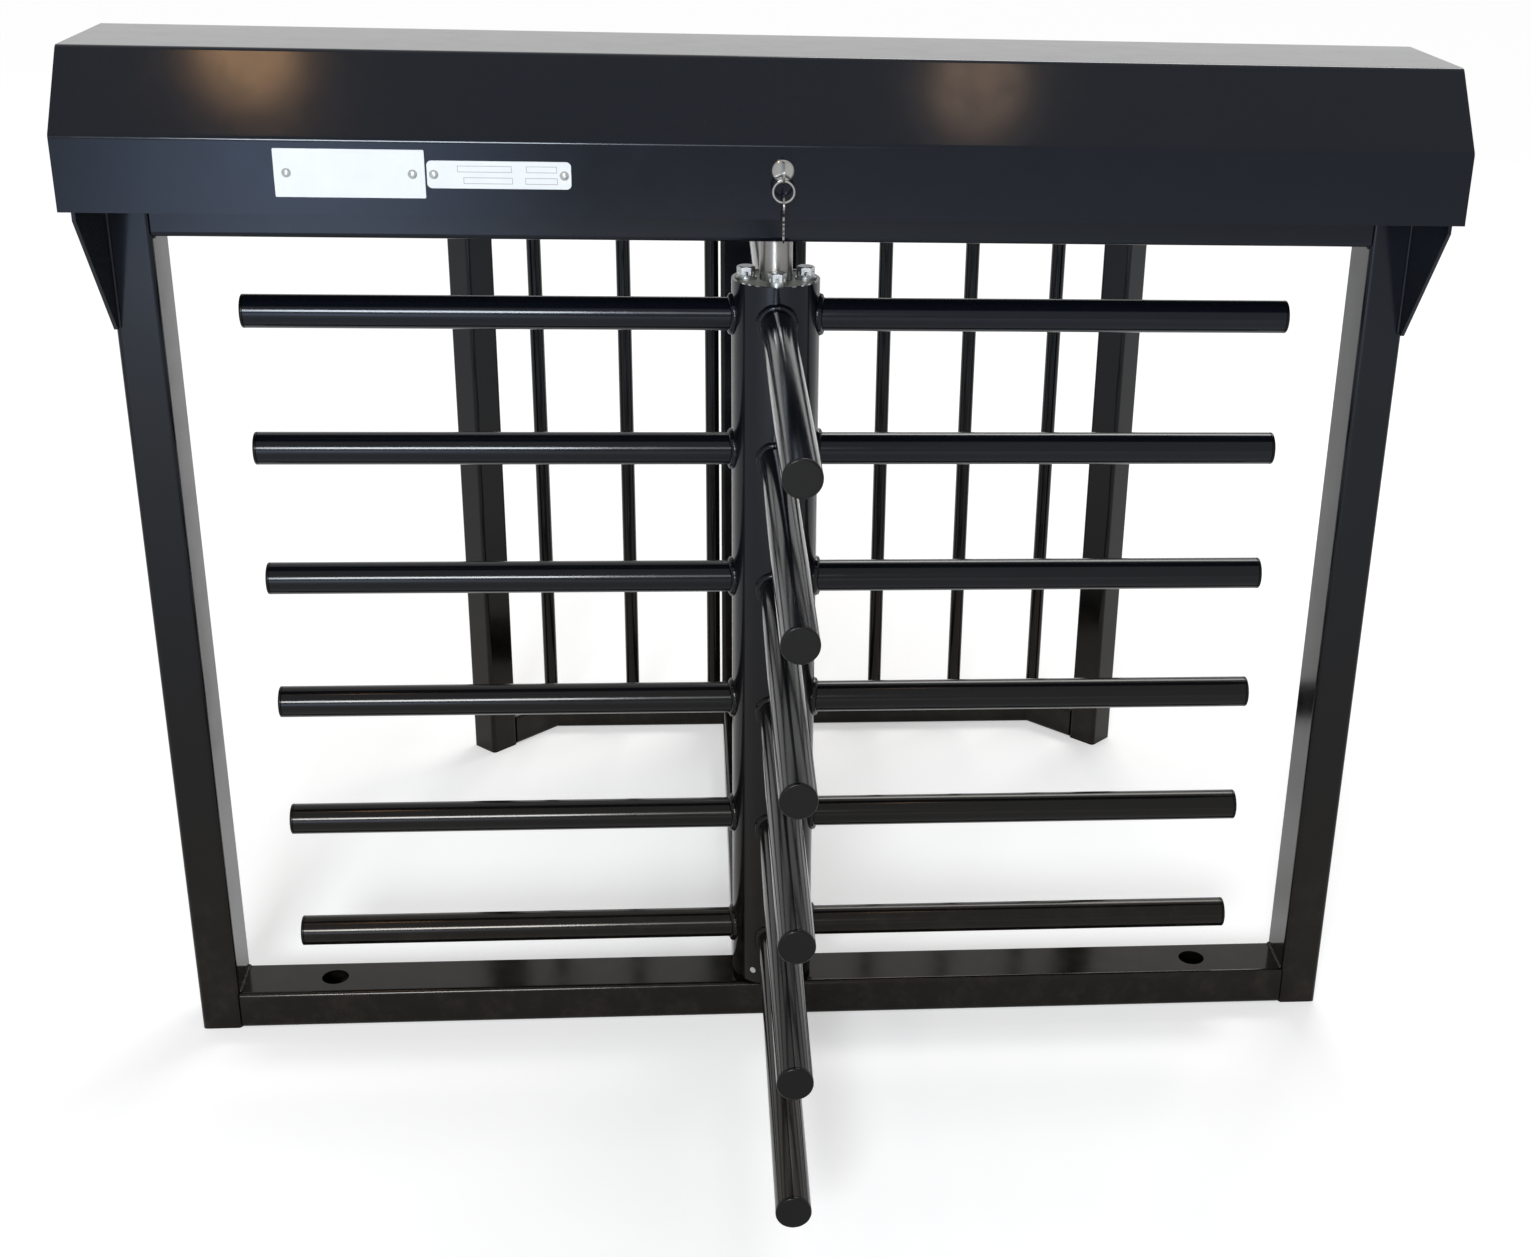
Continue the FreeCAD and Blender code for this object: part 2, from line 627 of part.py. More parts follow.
def shaft():
    """Turned shaft from the flange up through the bearing, with a keyway for the lock disc."""
    bar = cylinder(SHAFT_RADIUS, Z_AXIS * FLANGE_BOTTOM, Z_AXIS * SHAFT_TOP)
    return bar.cut(key_block(KEYWAY_GAP))


# Foot pivot

def pivot_pin():
    """Pin on a round base, fixed to the base rail."""
    base = cylinder(PIVOT_BASE_DIAMETER / 2, Z_AXIS * TUBE_WIDTH, Z_AXIS * PIVOT_BASE_TOP)
    return base.fuse(cylinder(PIVOT_DIAMETER / 2, Z_AXIS * PIVOT_BASE_TOP,
                              Z_AXIS * (PIVOT_BASE_TOP + PIVOT_HEIGHT)))


def thrust_washer():
    """Bronze washer that takes the rotor's weight."""
    return ring(BUSH_RADIUS + BUSH_WALL, BUSH_BORE_RADIUS, PIVOT_BASE_TOP, PIVOT_BASE_TOP + THRUST_SHEET)


def foot_bush():
    """Flanged bronze bush on the pivot pin."""
    flange = ring(BUSH_RADIUS + BUSH_WALL, BUSH_BORE_RADIUS, BUSH_BOTTOM, FOOT_PLUG_BOTTOM)
    sleeve = ring(BUSH_RADIUS, BUSH_BORE_RADIUS, FOOT_PLUG_BOTTOM, BUSH_BOTTOM + BUSH_LENGTH)
    return flange.fuse(sleeve)


def foot_plug():
    """Disc in the column's foot that holds the bush."""
    plug = ring(COLUMN_BORE / 2, BUSH_RADIUS, FOOT_PLUG_BOTTOM, FOOT_PLUG_BOTTOM + FOOT_PLUG_HEIGHT)
    for hole in foot_screw_holes():
        plug = plug.cut(hole)
    return plug


def foot_screw_lines():
    """Start, on the column's face, and inward direction of each foot screw."""
    height = Z_AXIS * (FOOT_PLUG_BOTTOM + FOOT_PLUG_HEIGHT / 2)
    points = bolt_circle(FOOT_SCREW_COUNT, COLUMN_DIAMETER / 2, FOOT_SCREW_TURN)
    return [(point + height, (point * -1).normalize()) for point in points]


def foot_screw_length():
    """Length of a foot screw under its head, short of the bush."""
    return COLUMN_DIAMETER / 2 - BUSH_RADIUS - BUSH_WALL


def foot_screw_holes():
    """Holes for the foot screws through the column and into the plug."""
    radius = FOOT_SCREW_DIAMETER / 2
    length = foot_screw_length()
    return [cylinder(radius, start - inward, start + inward * length) for start, inward in foot_screw_lines()]


def foot_screws():
    """Button head screws with hexagon sockets that hold the plug in the column."""
    screws = []
    for start, inward in foot_screw_lines():
        head_end = start - inward * FOOT_SCREW_HEAD_RISE
        dome_radius = FOOT_SCREW_HEAD / 2 * 1.15
        head = cylinder(FOOT_SCREW_HEAD / 2, start + inward, head_end)
        head = head.common(Part.makeSphere(dome_radius, head_end + inward * dome_radius))
        head = head.cut(cylinder(COLUMN_DIAMETER / 2, ORIGIN, Z_AXIS * COLUMN_TOP))
        shank = cylinder(FOOT_SCREW_DIAMETER / 2, start - inward, start + inward * foot_screw_length())
        socket = hexagon(FOOT_SCREW_SOCKET, FOOT_SCREW_SOCKET_DEPTH, head_end, inward)
        screws.append(head.fuse(shank).cut(socket))
    return group(screws)


# Chassis and hood

def chassis_plate():
    """Floor of the mechanism housing, with a flange down at the back for the hinges."""
    front = HOOD_FRONT_INSIDE + SKIRT_GAP
    back = HOOD_HALF_WIDTH
    plate = block(FreeCAD.Vector(-CHASSIS_HALF_LENGTH, front, PORTAL_HEIGHT),
                  FreeCAD.Vector(CHASSIS_HALF_LENGTH, back, CHASSIS_TOP))
    flange = block(FreeCAD.Vector(-CHASSIS_HALF_LENGTH, back - CHASSIS_FLANGE_SHEET,
                                  PORTAL_HEIGHT - CHASSIS_FLANGE_DROP),
                   FreeCAD.Vector(CHASSIS_HALF_LENGTH, back, CHASSIS_TOP))
    plate = plate.fuse(flange).removeSplitter()
    hole_radius = SHAFT_RADIUS + CHASSIS_SHAFT_GAP
    return plate.cut(cylinder(hole_radius, Z_AXIS * PORTAL_HEIGHT, Z_AXIS * CHASSIS_TOP))


def hood_outline(inset, x):
    """Section of the hood, moved inward by a sheet thickness or not at all."""
    half = HOOD_HALF_WIDTH - inset
    top = HOOD_TOP - inset
    slope = math.hypot(HOOD_CHAMFER_RISE, HOOD_CHAMFER_RUN)
    ridge = HOOD_RIDGE - inset * (slope - HOOD_CHAMFER_RISE) / HOOD_CHAMFER_RUN
    top_half = half - (top - ridge) * HOOD_CHAMFER_RUN / HOOD_CHAMFER_RISE
    right_side = [(half, HOOD_BOTTOM), (half, ridge), (top_half, top)]
    left_side = [(-y, z) for y, z in reversed(right_side)]
    return [FreeCAD.Vector(x, y, z) for y, z in right_side + left_side]


def folded(outline, length, bend):
    """Solid under the hood's section, with its four folds rounded."""
    solid = prism(outline, X_AXIS * length)
    folds = []
    for edge in solid.Edges:
        along_x = abs(edge.tangentAt(edge.FirstParameter).x) > 0.9
        if along_x and edge.CenterOfMass.z > HOOD_BOTTOM + HOOD_WALL_HEIGHT / 2:
            folds.append(edge)
    return solid.makeFillet(bend, folds)


def hood():
    """Folded sheet cover, open below, cut short at the back over the chassis and bored for the lock."""
    outer = folded(hood_outline(0, -HOOD_HALF_LENGTH), 2 * HOOD_HALF_LENGTH, HOOD_BEND)
    inner_length = 2 * (HOOD_HALF_LENGTH - HOOD_SHEET)
    inner = folded(hood_outline(HOOD_SHEET, HOOD_SHEET - HOOD_HALF_LENGTH), inner_length, HOOD_BEND - HOOD_SHEET)
    shell = outer.cut(inner)
    back_relief = block(
        FreeCAD.Vector(-HOOD_HALF_LENGTH, HOOD_HALF_WIDTH - HOOD_SHEET - SKIRT_GAP, HOOD_BOTTOM),
        FreeCAD.Vector(HOOD_HALF_LENGTH, HOOD_HALF_WIDTH, REAR_WALL_BOTTOM))
    shell = shell.cut(back_relief)
    return shell.cut(lock_bore(LOCK_BODY_DIAMETER / 2 + RUNNING_GAP, HOOD_FRONT, HOOD_FRONT_INSIDE))


def bumper_x():
    """Places of the hood's front rests."""
    place = HOOD_HALF_LENGTH - BUMPER_END_GAP
    return [-place, place]


def rest_bumpers():
    """Rubber buttons on the chassis, under the hood's front rests."""
    y = HOOD_FRONT_INSIDE + REST_TAB_DEPTH / 2
    feet = [FreeCAD.Vector(x, y, CHASSIS_TOP) for x in bumper_x()]
    return group([cylinder(BUMPER_DIAMETER / 2, foot, foot + Z_AXIS * BUMPER_HEIGHT) for foot in feet])


def rest_tabs():
    """Angle tabs inside the hood's front wall that sit on the bumpers."""
    bottom = CHASSIS_TOP + BUMPER_HEIGHT + SEAT_GAP
    tabs = []
    for x in bumper_x():
        low = FreeCAD.Vector(x - REST_TAB_WIDTH / 2, HOOD_FRONT_INSIDE, bottom)
        seat = block(low, low + FreeCAD.Vector(REST_TAB_WIDTH, REST_TAB_DEPTH, REST_TAB_SHEET))
        leg = block(low, low + FreeCAD.Vector(REST_TAB_WIDTH, REST_TAB_SHEET, REST_TAB_RISE))
        tabs.append(seat.fuse(leg).removeSplitter())
    return group(tabs)


# Hinges

def hinge_knuckle(x_low, x_high, bore_radius):
    """Round eye of a hinge leaf."""
    start = FreeCAD.Vector(x_low, HINGE_Y, HINGE_Z)
    end = FreeCAD.Vector(x_high, HINGE_Y, HINGE_Z)
    return cylinder(HINGE_KNUCKLE_RADIUS, start, end).cut(cylinder(bore_radius, start, end))


def hinge_leaf(x_low, x_high, knuckles, rise):
    """Flat leaf against the back of the hood (rise 1) or of the chassis (rise -1), with its eyes."""
    edge = HINGE_Z + rise * HINGE_END_GAP
    far = HINGE_Z + rise * HINGE_LEAF_HEIGHT
    low = FreeCAD.Vector(x_low, HOOD_HALF_WIDTH, min(edge, far))
    leaf = block(low, FreeCAD.Vector(x_high, HOOD_HALF_WIDTH + HINGE_LEAF, max(edge, far)))
    bore_radius = HINGE_PIN_DIAMETER / 2 + RUNNING_GAP
    for start, end in knuckles:
        leaf = leaf.fuse(hinge_knuckle(start, end, bore_radius))
    return leaf


def trimmed_leaf(leaf, gaps):
    """Clears a leaf where the other leaf's eyes turn."""
    for start, end in gaps:
        room = cylinder(HINGE_KNUCKLE_RADIUS + HINGE_END_GAP,
                        FreeCAD.Vector(start - HINGE_END_GAP, HINGE_Y, HINGE_Z),
                        FreeCAD.Vector(end + HINGE_END_GAP, HINGE_Y, HINGE_Z))
        leaf = leaf.cut(room)
    return leaf


def hinge_places():
    """Start of each hinge along X."""
    return [side * HINGE_SPACING / 2 - HINGE_LENGTH / 2 for side in (-1, 1)]


def hinge_eyes(x):
    """Spans of the two outer eyes and of the middle eye of a hinge."""
    third = HINGE_LENGTH / 3
    outer = [(x, x + third - HINGE_END_GAP), (x + 2 * third + HINGE_END_GAP, x + HINGE_LENGTH)]
    return outer, [(x + third, x + 2 * third)]


def fixed_leaves():
    """Leaves on the chassis flange, with the outer eyes."""
    leaves = []
    for x in hinge_places():
        outer, middle = hinge_eyes(x)
        leaves.append(trimmed_leaf(hinge_leaf(x, x + HINGE_LENGTH, outer, -1), middle))
    return leaves


def moving_leaves():
    """Leaves on the hood's back wall, with the middle eye."""
    leaves = []
    for x in hinge_places():
        outer, middle = hinge_eyes(x)
        leaves.append(trimmed_leaf(hinge_leaf(x, x + HINGE_LENGTH, middle, 1), outer))
    return leaves


def hinge_pins():
    """Pins through the hinge eyes."""
    pins = []
    for x in hinge_places():
        start = FreeCAD.Vector(x, HINGE_Y, HINGE_Z)
        pins.append(cylinder(HINGE_PIN_DIAMETER / 2, start, start + X_AXIS * HINGE_LENGTH))
    return pins


# Bearing

def housing_points():
    """Places of the housing bolts."""
    half = HOUSING_BOLT_SPACING / 2
    return [FreeCAD.Vector(x, y, 0) for x in (-half, half) for y in (-half, half)]


def bearing_housing():
    """Square flange with a tapered boss that holds the bearing."""
    flange = round_bar(HOUSING_FLANGE_SHEET, HOUSING_FLANGE, HOUSING_FLANGE, HOUSING_CORNER)
    flange = oriented(flange, Z_AXIS * CHASSIS_TOP, Z_AXIS, Y_AXIS)
    bore_radius = BEARING_OUTER_DIAMETER / 2
    boss_radius = bore_radius + HOUSING_BOSS_WALL
    flange_top = CHASSIS_TOP + HOUSING_FLANGE_SHEET
    boss = Part.makeCone(boss_radius + HOUSING_BOSS_WALL / 2, boss_radius, HOUSING_TOP - flange_top,
                         Z_AXIS * flange_top, Z_AXIS)
    housing = flange.fuse(boss)
    housing = housing.cut(cylinder(bore_radius, Z_AXIS * BEARING_BOTTOM, Z_AXIS * HOUSING_TOP))
    housing = housing.cut(cylinder(bore_radius - BEARING_RACE_WALL, Z_AXIS * CHASSIS_TOP, Z_AXIS * HOUSING_TOP))
    for point in housing_points():
        hole = cylinder(HOUSING_BOLT_DIAMETER / 2, point, point + Z_AXIS * HOUSING_TOP)
        housing = housing.cut(hole)
    return housing


def housing_bolts():
    """Bolts that hold the bearing housing on the chassis plate."""
    seat = Z_AXIS * (CHASSIS_TOP + HOUSING_FLANGE_SHEET)
    return group([
        hex_bolt(HOUSING_BOLT_FLATS, HOUSING_BOLT_HEAD, HOUSING_BOLT_DIAMETER, point + seat, HOUSING_FLANGE_SHEET)
        for point in housing_points()])


def bearing_outer_race():
    """Outer ring, in the housing."""
    radius = BEARING_OUTER_DIAMETER / 2
    return ring(radius, radius - BEARING_RACE_WALL, BEARING_BOTTOM, BEARING_BOTTOM + BEARING_HEIGHT)


def bearing_inner_race():
    """Inner ring, on the shaft."""
    return ring(SHAFT_RADIUS + BEARING_RACE_WALL, SHAFT_RADIUS, BEARING_BOTTOM, BEARING_BOTTOM + BEARING_HEIGHT)


def bearing_rollers():
    """Upright rollers between the races."""
    outer_bore = BEARING_OUTER_DIAMETER / 2 - BEARING_RACE_WALL
    inner_face = SHAFT_RADIUS + BEARING_RACE_WALL
    radius = (outer_bore - inner_face) / 2 - RUNNING_GAP
    foot = Z_AXIS * (BEARING_BOTTOM + ROLLER_SETBACK)
    rise = Z_AXIS * (BEARING_HEIGHT - 2 * ROLLER_SETBACK)
    points = bolt_circle(ROLLER_COUNT, (outer_bore + inner_face) / 2, 0)
    return group([cylinder(radius, point + foot, point + foot + rise) for point in points])


# Lock disc

def key_block(gap):
    """Parallel key between shaft and lock disc, grown by a gap for the keyways."""
    half = KEY_WIDTH / 2 + gap
    centre = SHAFT_RADIUS
    low = FreeCAD.Vector(-half, centre - KEY_HEIGHT / 2 - gap, DISC_HUB_BOTTOM + KEY_SETBACK - gap)
    return block(low, FreeCAD.Vector(half, centre + KEY_HEIGHT / 2 + gap, DISC_HUB_TOP - KEY_SETBACK + gap))


def disc_key():
    """Parallel key in its keyways."""
    return key_block(0)


def lock_disc():
    """Disc with four slots for the pawls, on a keyed hub."""
    plate = cylinder(DISC_RADIUS, Z_AXIS * DISC_BOTTOM, Z_AXIS * DISC_TOP)
    root = DISC_RADIUS - DISC_SLOT_DEPTH
    slot = block(FreeCAD.Vector(root, -DISC_SLOT_WIDTH / 2, DISC_BOTTOM),
                 FreeCAD.Vector(2 * DISC_RADIUS, DISC_SLOT_WIDTH / 2, DISC_TOP))
    for quarter in range(4):
        plate = plate.cut(around_rotor(slot, 90 * quarter))
    hub = cylinder(DISC_HUB_DIAMETER / 2, Z_AXIS * DISC_HUB_BOTTOM, Z_AXIS * DISC_HUB_TOP)
    bore = cylinder(SHAFT_RADIUS, Z_AXIS * DISC_HUB_BOTTOM, Z_AXIS * DISC_HUB_TOP)
    return plate.fuse(hub).cut(bore).cut(key_block(KEYWAY_GAP))


def shaft_collar():
    """Clamp ring that keeps the disc on the shaft, slit at the back."""
    collar = ring(SHAFT_RADIUS + COLLAR_WALL, SHAFT_RADIUS, DISC_HUB_TOP, DISC_HUB_TOP + COLLAR_HEIGHT)
    slit = block(FreeCAD.Vector(-1, 0, DISC_HUB_TOP),
                 FreeCAD.Vector(1, SHAFT_RADIUS + 2 * COLLAR_WALL, DISC_HUB_TOP + COLLAR_HEIGHT))
    return collar.cut(slit)


# Pawls and solenoids, drawn on the right hand side

def pawl():
    """Lever with a nose for the disc's slots and a slotted tail for the plunger's pin."""
    half = PAWL_BAR / 2
    nose_y = PAWL_NOSE_SHIFT
    nose_end = nose_y + PAWL_NOSE_WIDTH / 2
    lever = block(FreeCAD.Vector(PAWL_X - half, PAWL_Y, DISC_BOTTOM),
                  FreeCAD.Vector(PAWL_X + half, nose_end, DISC_TOP))
    nose = block(FreeCAD.Vector(PAWL_X - half - PAWL_NOSE_LENGTH, nose_y - PAWL_NOSE_WIDTH / 2, DISC_BOTTOM),
                 FreeCAD.Vector(PAWL_X + half, nose_end, DISC_TOP))
    tail_half = half - 1
    tail = block(FreeCAD.Vector(PAWL_X - tail_half, TAIL_PIN_Y - PAWL_TAIL_END, DISC_BOTTOM),
                 FreeCAD.Vector(PAWL_X + tail_half, PAWL_Y, DISC_TOP))
    pivot = FreeCAD.Vector(PAWL_X, PAWL_Y, DISC_BOTTOM)
    rise = Z_AXIS * DISC_SHEET
    body = lever.fuse([nose, tail, cylinder(PAWL_BOSS_RADIUS, pivot, pivot + rise)]).removeSplitter()
    body = body.cut(cylinder(PAWL_PIN_DIAMETER / 2 + RUNNING_GAP, pivot, pivot + rise))
    return body.cut(tail_slot())


def tail_slot():
    """Slot along the pawl's tail for the plunger's pin."""
    radius = CLEVIS_PIN_DIAMETER / 2 + CLEVIS_SLOT_PLAY / 2
    centre = FreeCAD.Vector(PAWL_X, TAIL_PIN_Y, DISC_BOTTOM)
    ends = [centre - Y_AXIS * CLEVIS_SLOT_PLAY, centre + Y_AXIS * CLEVIS_SLOT_PLAY]
    rounds = [cylinder(radius, end, end + Z_AXIS * DISC_SHEET) for end in ends]
    low = ends[0] - X_AXIS * radius
    straight = block(low, ends[1] + X_AXIS * radius + Z_AXIS * DISC_SHEET)
    return straight.fuse(rounds)


def pawl_post():
    """Pillar on the chassis with a shoulder under the pawl and a pin through it."""
    foot = FreeCAD.Vector(PAWL_X, PAWL_Y, CHASSIS_TOP)
    shoulder = FreeCAD.Vector(PAWL_X, PAWL_Y, DISC_BOTTOM - SEAT_GAP)
    top = FreeCAD.Vector(PAWL_X, PAWL_Y, DISC_TOP + PAWL_POST_TOP)
    return cylinder(PAWL_POST_DIAMETER / 2, foot, shoulder).fuse(cylinder(PAWL_PIN_DIAMETER / 2, shoulder, top))


def plunger():
    """Solenoid plunger with a forked end and a pin through the pawl's tail."""
    fork_low = DISC_BOTTOM - SEAT_GAP - CLEVIS_CHEEK
    fork_high = DISC_TOP + SEAT_GAP + CLEVIS_CHEEK
    back = PAWL_X + CLEVIS_LENGTH - CLEVIS_WIDTH / 2
    half = CLEVIS_WIDTH / 2
    fork = block(FreeCAD.Vector(PAWL_X - half, TAIL_PIN_Y - half, fork_low),
                 FreeCAD.Vector(back, TAIL_PIN_Y + half, fork_high))
    mouth = block(FreeCAD.Vector(PAWL_X - half, TAIL_PIN_Y - half, DISC_BOTTOM - SEAT_GAP),
                  FreeCAD.Vector(back - CLEVIS_CHEEK, TAIL_PIN_Y + half, DISC_TOP + SEAT_GAP))
    pin_foot = FreeCAD.Vector(PAWL_X, TAIL_PIN_Y, fork_low)
    pin = cylinder(CLEVIS_PIN_DIAMETER / 2, pin_foot, pin_foot + Z_AXIS * (fork_high - fork_low))
    rod_start = FreeCAD.Vector(back, TAIL_PIN_Y, PAWL_MIDDLE)
    rod_end = FreeCAD.Vector(SOLENOID_X + PLUNGER_INSERTION, TAIL_PIN_Y, PAWL_MIDDLE)
    return fork.cut(mouth).fuse([pin, cylinder(PLUNGER_DIAMETER / 2, rod_start, rod_end)])


def solenoid():
    """Coil in an open steel frame, bored for the plunger."""
    half = SOLENOID_SIZE / 2
    low = FreeCAD.Vector(SOLENOID_X, TAIL_PIN_Y - half, STAND_TOP)
    frame = block(low, low + FreeCAD.Vector(SOLENOID_LENGTH, SOLENOID_SIZE, SOLENOID_SIZE))
    window = block(low + FreeCAD.Vector(SOLENOID_FRAME, 0, SOLENOID_FRAME),
                   low + FreeCAD.Vector(SOLENOID_LENGTH - SOLENOID_FRAME, SOLENOID_SIZE,
                                        SOLENOID_SIZE - SOLENOID_FRAME))
    start = FreeCAD.Vector(SOLENOID_X, TAIL_PIN_Y, PAWL_MIDDLE)
    coil = cylinder(half - SOLENOID_FRAME - COIL_GAP, start + X_AXIS * SOLENOID_FRAME,
                    start + X_AXIS * (SOLENOID_LENGTH - SOLENOID_FRAME))
    bore_end = start + X_AXIS * (PLUNGER_INSERTION + PLUNGER_STROKE_ROOM)
    return frame.cut(window).fuse(coil).cut(cylinder(PLUNGER_DIAMETER / 2 + 2 * RUNNING_GAP, start, bore_end))


def solenoid_stand():
    """Folded channel that lifts the solenoid to the pawl's level."""
    half = SOLENOID_SIZE / 2
    low = FreeCAD.Vector(SOLENOID_X, TAIL_PIN_Y - half, CHASSIS_TOP)
    body = block(low, FreeCAD.Vector(SOLENOID_X + SOLENOID_LENGTH, TAIL_PIN_Y + half, STAND_TOP))
    room = block(low + Y_AXIS * STAND_SHEET,
                 FreeCAD.Vector(SOLENOID_X + SOLENOID_LENGTH, TAIL_PIN_Y + half - STAND_SHEET,
                                STAND_TOP - STAND_SHEET))
    return body.cut(room)


# Cam lock and keys

def lock_bore(radius, front, back):
    """Round bar on the lock's axis."""
    return cylinder(radius, FreeCAD.Vector(0, front, LOCK_Z), FreeCAD.Vector(0, back, LOCK_Z))


def lock_body():
    """Chromed collar and barrel housing through the hood's front wall."""
    collar = lock_bore(LOCK_COLLAR_DIAMETER / 2, LOCK_FACE, HOOD_FRONT)
    rim = [e for e in collar.Edges if e.Closed and abs(e.CenterOfMass.y - LOCK_FACE) < 0.01]
    collar = collar.makeChamfer(LOCK_COLLAR_RISE / 3, rim)
    body = collar.fuse(lock_bore(LOCK_BODY_DIAMETER / 2, HOOD_FRONT, LOCK_BACK))
    return body.cut(lock_bore(PLUG_DIAMETER / 2 + RUNNING_GAP, LOCK_FACE, LOCK_BACK))


def lock_nut():
    """Nut that holds the lock from inside the hood."""
    base = FreeCAD.Vector(0, HOOD_FRONT_INSIDE, LOCK_Z)
    nut = hexagon(LOCK_NUT_FLATS, LOCK_NUT_HEIGHT, base, Y_AXIS)
    return nut.cut(lock_bore(LOCK_BODY_DIAMETER / 2, HOOD_FRONT, LOCK_BACK))


def key_slot(gap):
    """Room for the key's blade in the plug."""
    half = DOOR_KEY_SHEET / 2 + gap
    reach = DOOR_KEY_BLADE_WIDTH / 2 + gap
    end = DOOR_KEY_Y + DOOR_KEY_BOW_END + DOOR_KEY_BLADE_LENGTH + gap
    return block(FreeCAD.Vector(-half, LOCK_FACE, LOCK_Z - reach), FreeCAD.Vector(half, end, LOCK_Z + reach))


def lock_plug():
    """Turning plug of the lock, slotted for the key."""
    return lock_bore(PLUG_DIAMETER / 2, LOCK_FACE + PLUG_SETBACK, TONGUE_FRONT).cut(key_slot(KEYWAY_GAP))


def lock_tongue():
    """Flat tongue on the back of the plug, hanging down while unlocked."""
    half = TONGUE_WIDTH / 2
    arm = block(FreeCAD.Vector(-half, TONGUE_FRONT, LOCK_Z - TONGUE_LENGTH),
                FreeCAD.Vector(half, TONGUE_BACK, LOCK_Z))
    return arm.fuse(lock_bore(half, TONGUE_FRONT, TONGUE_BACK)).removeSplitter()


def tongue_screw():
    """Screw head that holds the tongue on the plug."""
    return lock_bore(TONGUE_SCREW_DIAMETER / 2, TONGUE_BACK, TONGUE_BACK + TONGUE_SCREW_HEAD)


def catch_bracket():
    """Folded bracket on the chassis whose lip stops the turned tongue from rising."""
    high = LOCK_Z + TONGUE_WIDTH / 2 + CATCH_GAP
    right = -LOCK_NUT_FLATS / math.sqrt(3) - CATCH_GAP
    left = right - CATCH_WIDTH
    web_front = TONGUE_BACK + CATCH_WEB_GAP
    web_back = web_front + CATCH_SHEET
    web = block(FreeCAD.Vector(left, web_front, CHASSIS_TOP), FreeCAD.Vector(right, web_back, high + CATCH_SHEET))
    lip = block(FreeCAD.Vector(left, TONGUE_FRONT - CATCH_WEB_GAP, high),
                FreeCAD.Vector(right, web_back, high + CATCH_SHEET))
    foot = block(FreeCAD.Vector(left, web_front, CHASSIS_TOP),
                 FreeCAD.Vector(right, web_front + CATCH_WIDTH, CHASSIS_TOP + CATCH_SHEET))
    return web.fuse([lip, foot]).removeSplitter()


def door_key():
    """Flat key with its long ring hole at the origin, blade towards +Y and its cuts on the lower edge."""
    half = DOOR_KEY_SHEET / 2
    bow_centre = Y_AXIS * DOOR_KEY_HOLE_OFFSET
    bow = cylinder(DOOR_KEY_BOW_RADIUS, bow_centre - X_AXIS * half, bow_centre + X_AXIS * half)
    blade_start = bow_centre.y + DOOR_KEY_BOW_RADIUS / 2
    blade_end = DOOR_KEY_BOW_END + DOOR_KEY_BLADE_LENGTH
    reach = DOOR_KEY_BLADE_WIDTH / 2
    points = [FreeCAD.Vector(-half, blade_start, -reach)]
    pitch = (blade_end - reach - DOOR_KEY_BOW_END) / (len(DOOR_KEY_CUTS) + 1)
    for number, depth in enumerate(DOOR_KEY_CUTS):
        middle = DOOR_KEY_BOW_END + pitch * (number + 1)
        points.append(FreeCAD.Vector(-half, middle - DOOR_KEY_CUT_HALF, -reach))
        points.append(FreeCAD.Vector(-half, middle, depth - reach))
        points.append(FreeCAD.Vector(-half, middle + DOOR_KEY_CUT_HALF, -reach))
    points.append(FreeCAD.Vector(-half, blade_end - reach, -reach))
    points.append(FreeCAD.Vector(-half, blade_end, 0))
    points.append(FreeCAD.Vector(-half, blade_end - reach, reach))
    points.append(FreeCAD.Vector(-half, blade_start, reach))
    blade = prism(points, X_AXIS * DOOR_KEY_SHEET)
    key = bow.fuse(blade).removeSplitter()
    hole = block(FreeCAD.Vector(-half, -DOOR_KEY_HOLE_RADIUS, -DOOR_KEY_HOLE_REACH),
                 FreeCAD.Vector(half, DOOR_KEY_HOLE_RADIUS, DOOR_KEY_HOLE_REACH))
    for end in (Z_AXIS * -DOOR_KEY_HOLE_REACH, Z_AXIS * DOOR_KEY_HOLE_REACH):
        hole = hole.fuse(cylinder(DOOR_KEY_HOLE_RADIUS, end - X_AXIS * half, end + X_AXIS * half))
    return key.cut(hole)


def lock_key():
    """Key left in the lock."""
    key = door_key()
    key.translate(FreeCAD.Vector(0, DOOR_KEY_Y, LOCK_Z))
    return key


def key_ring():
    """Ring of flat wire through the bow of the key, hanging across the hood's front."""
    front = FreeCAD.Vector(0, DOOR_KEY_Y - RING_WIRE_WIDTH / 2, RING_TOP - RING_RADIUS)
    back = front + Y_AXIS * RING_WIRE_WIDTH
    disc = cylinder(RING_RADIUS + RING_WIRE_HEIGHT / 2, front, back)
    return disc.cut(cylinder(RING_RADIUS - RING_WIRE_HEIGHT / 2, front, back))


def spare_key():
    """Second key hanging from the ring."""
    key = door_key()
    key.rotate(ORIGIN, X_AXIS, -90)
    key.translate(FreeCAD.Vector(0, DOOR_KEY_Y, RING_BOTTOM - RING_HANG))
    return key


# Plates

def bare_plate(centre_x, width, height, corner):
    """Thin plate with rounded corners on the hood's front wall."""
    plate = round_bar(PLATE_SHEET, width, height, corner)
    seat = FreeCAD.Vector(centre_x, HOOD_FRONT, HOOD_BOTTOM + PLATE_RISE)
    return oriented(plate, seat, Y_AXIS * -1, Z_AXIS)


def large_plate():
    """Bare plate at the left."""
    return bare_plate(LARGE_PLATE_X, LARGE_PLATE_WIDTH, LARGE_PLATE_HEIGHT, LARGE_PLATE_CORNER)


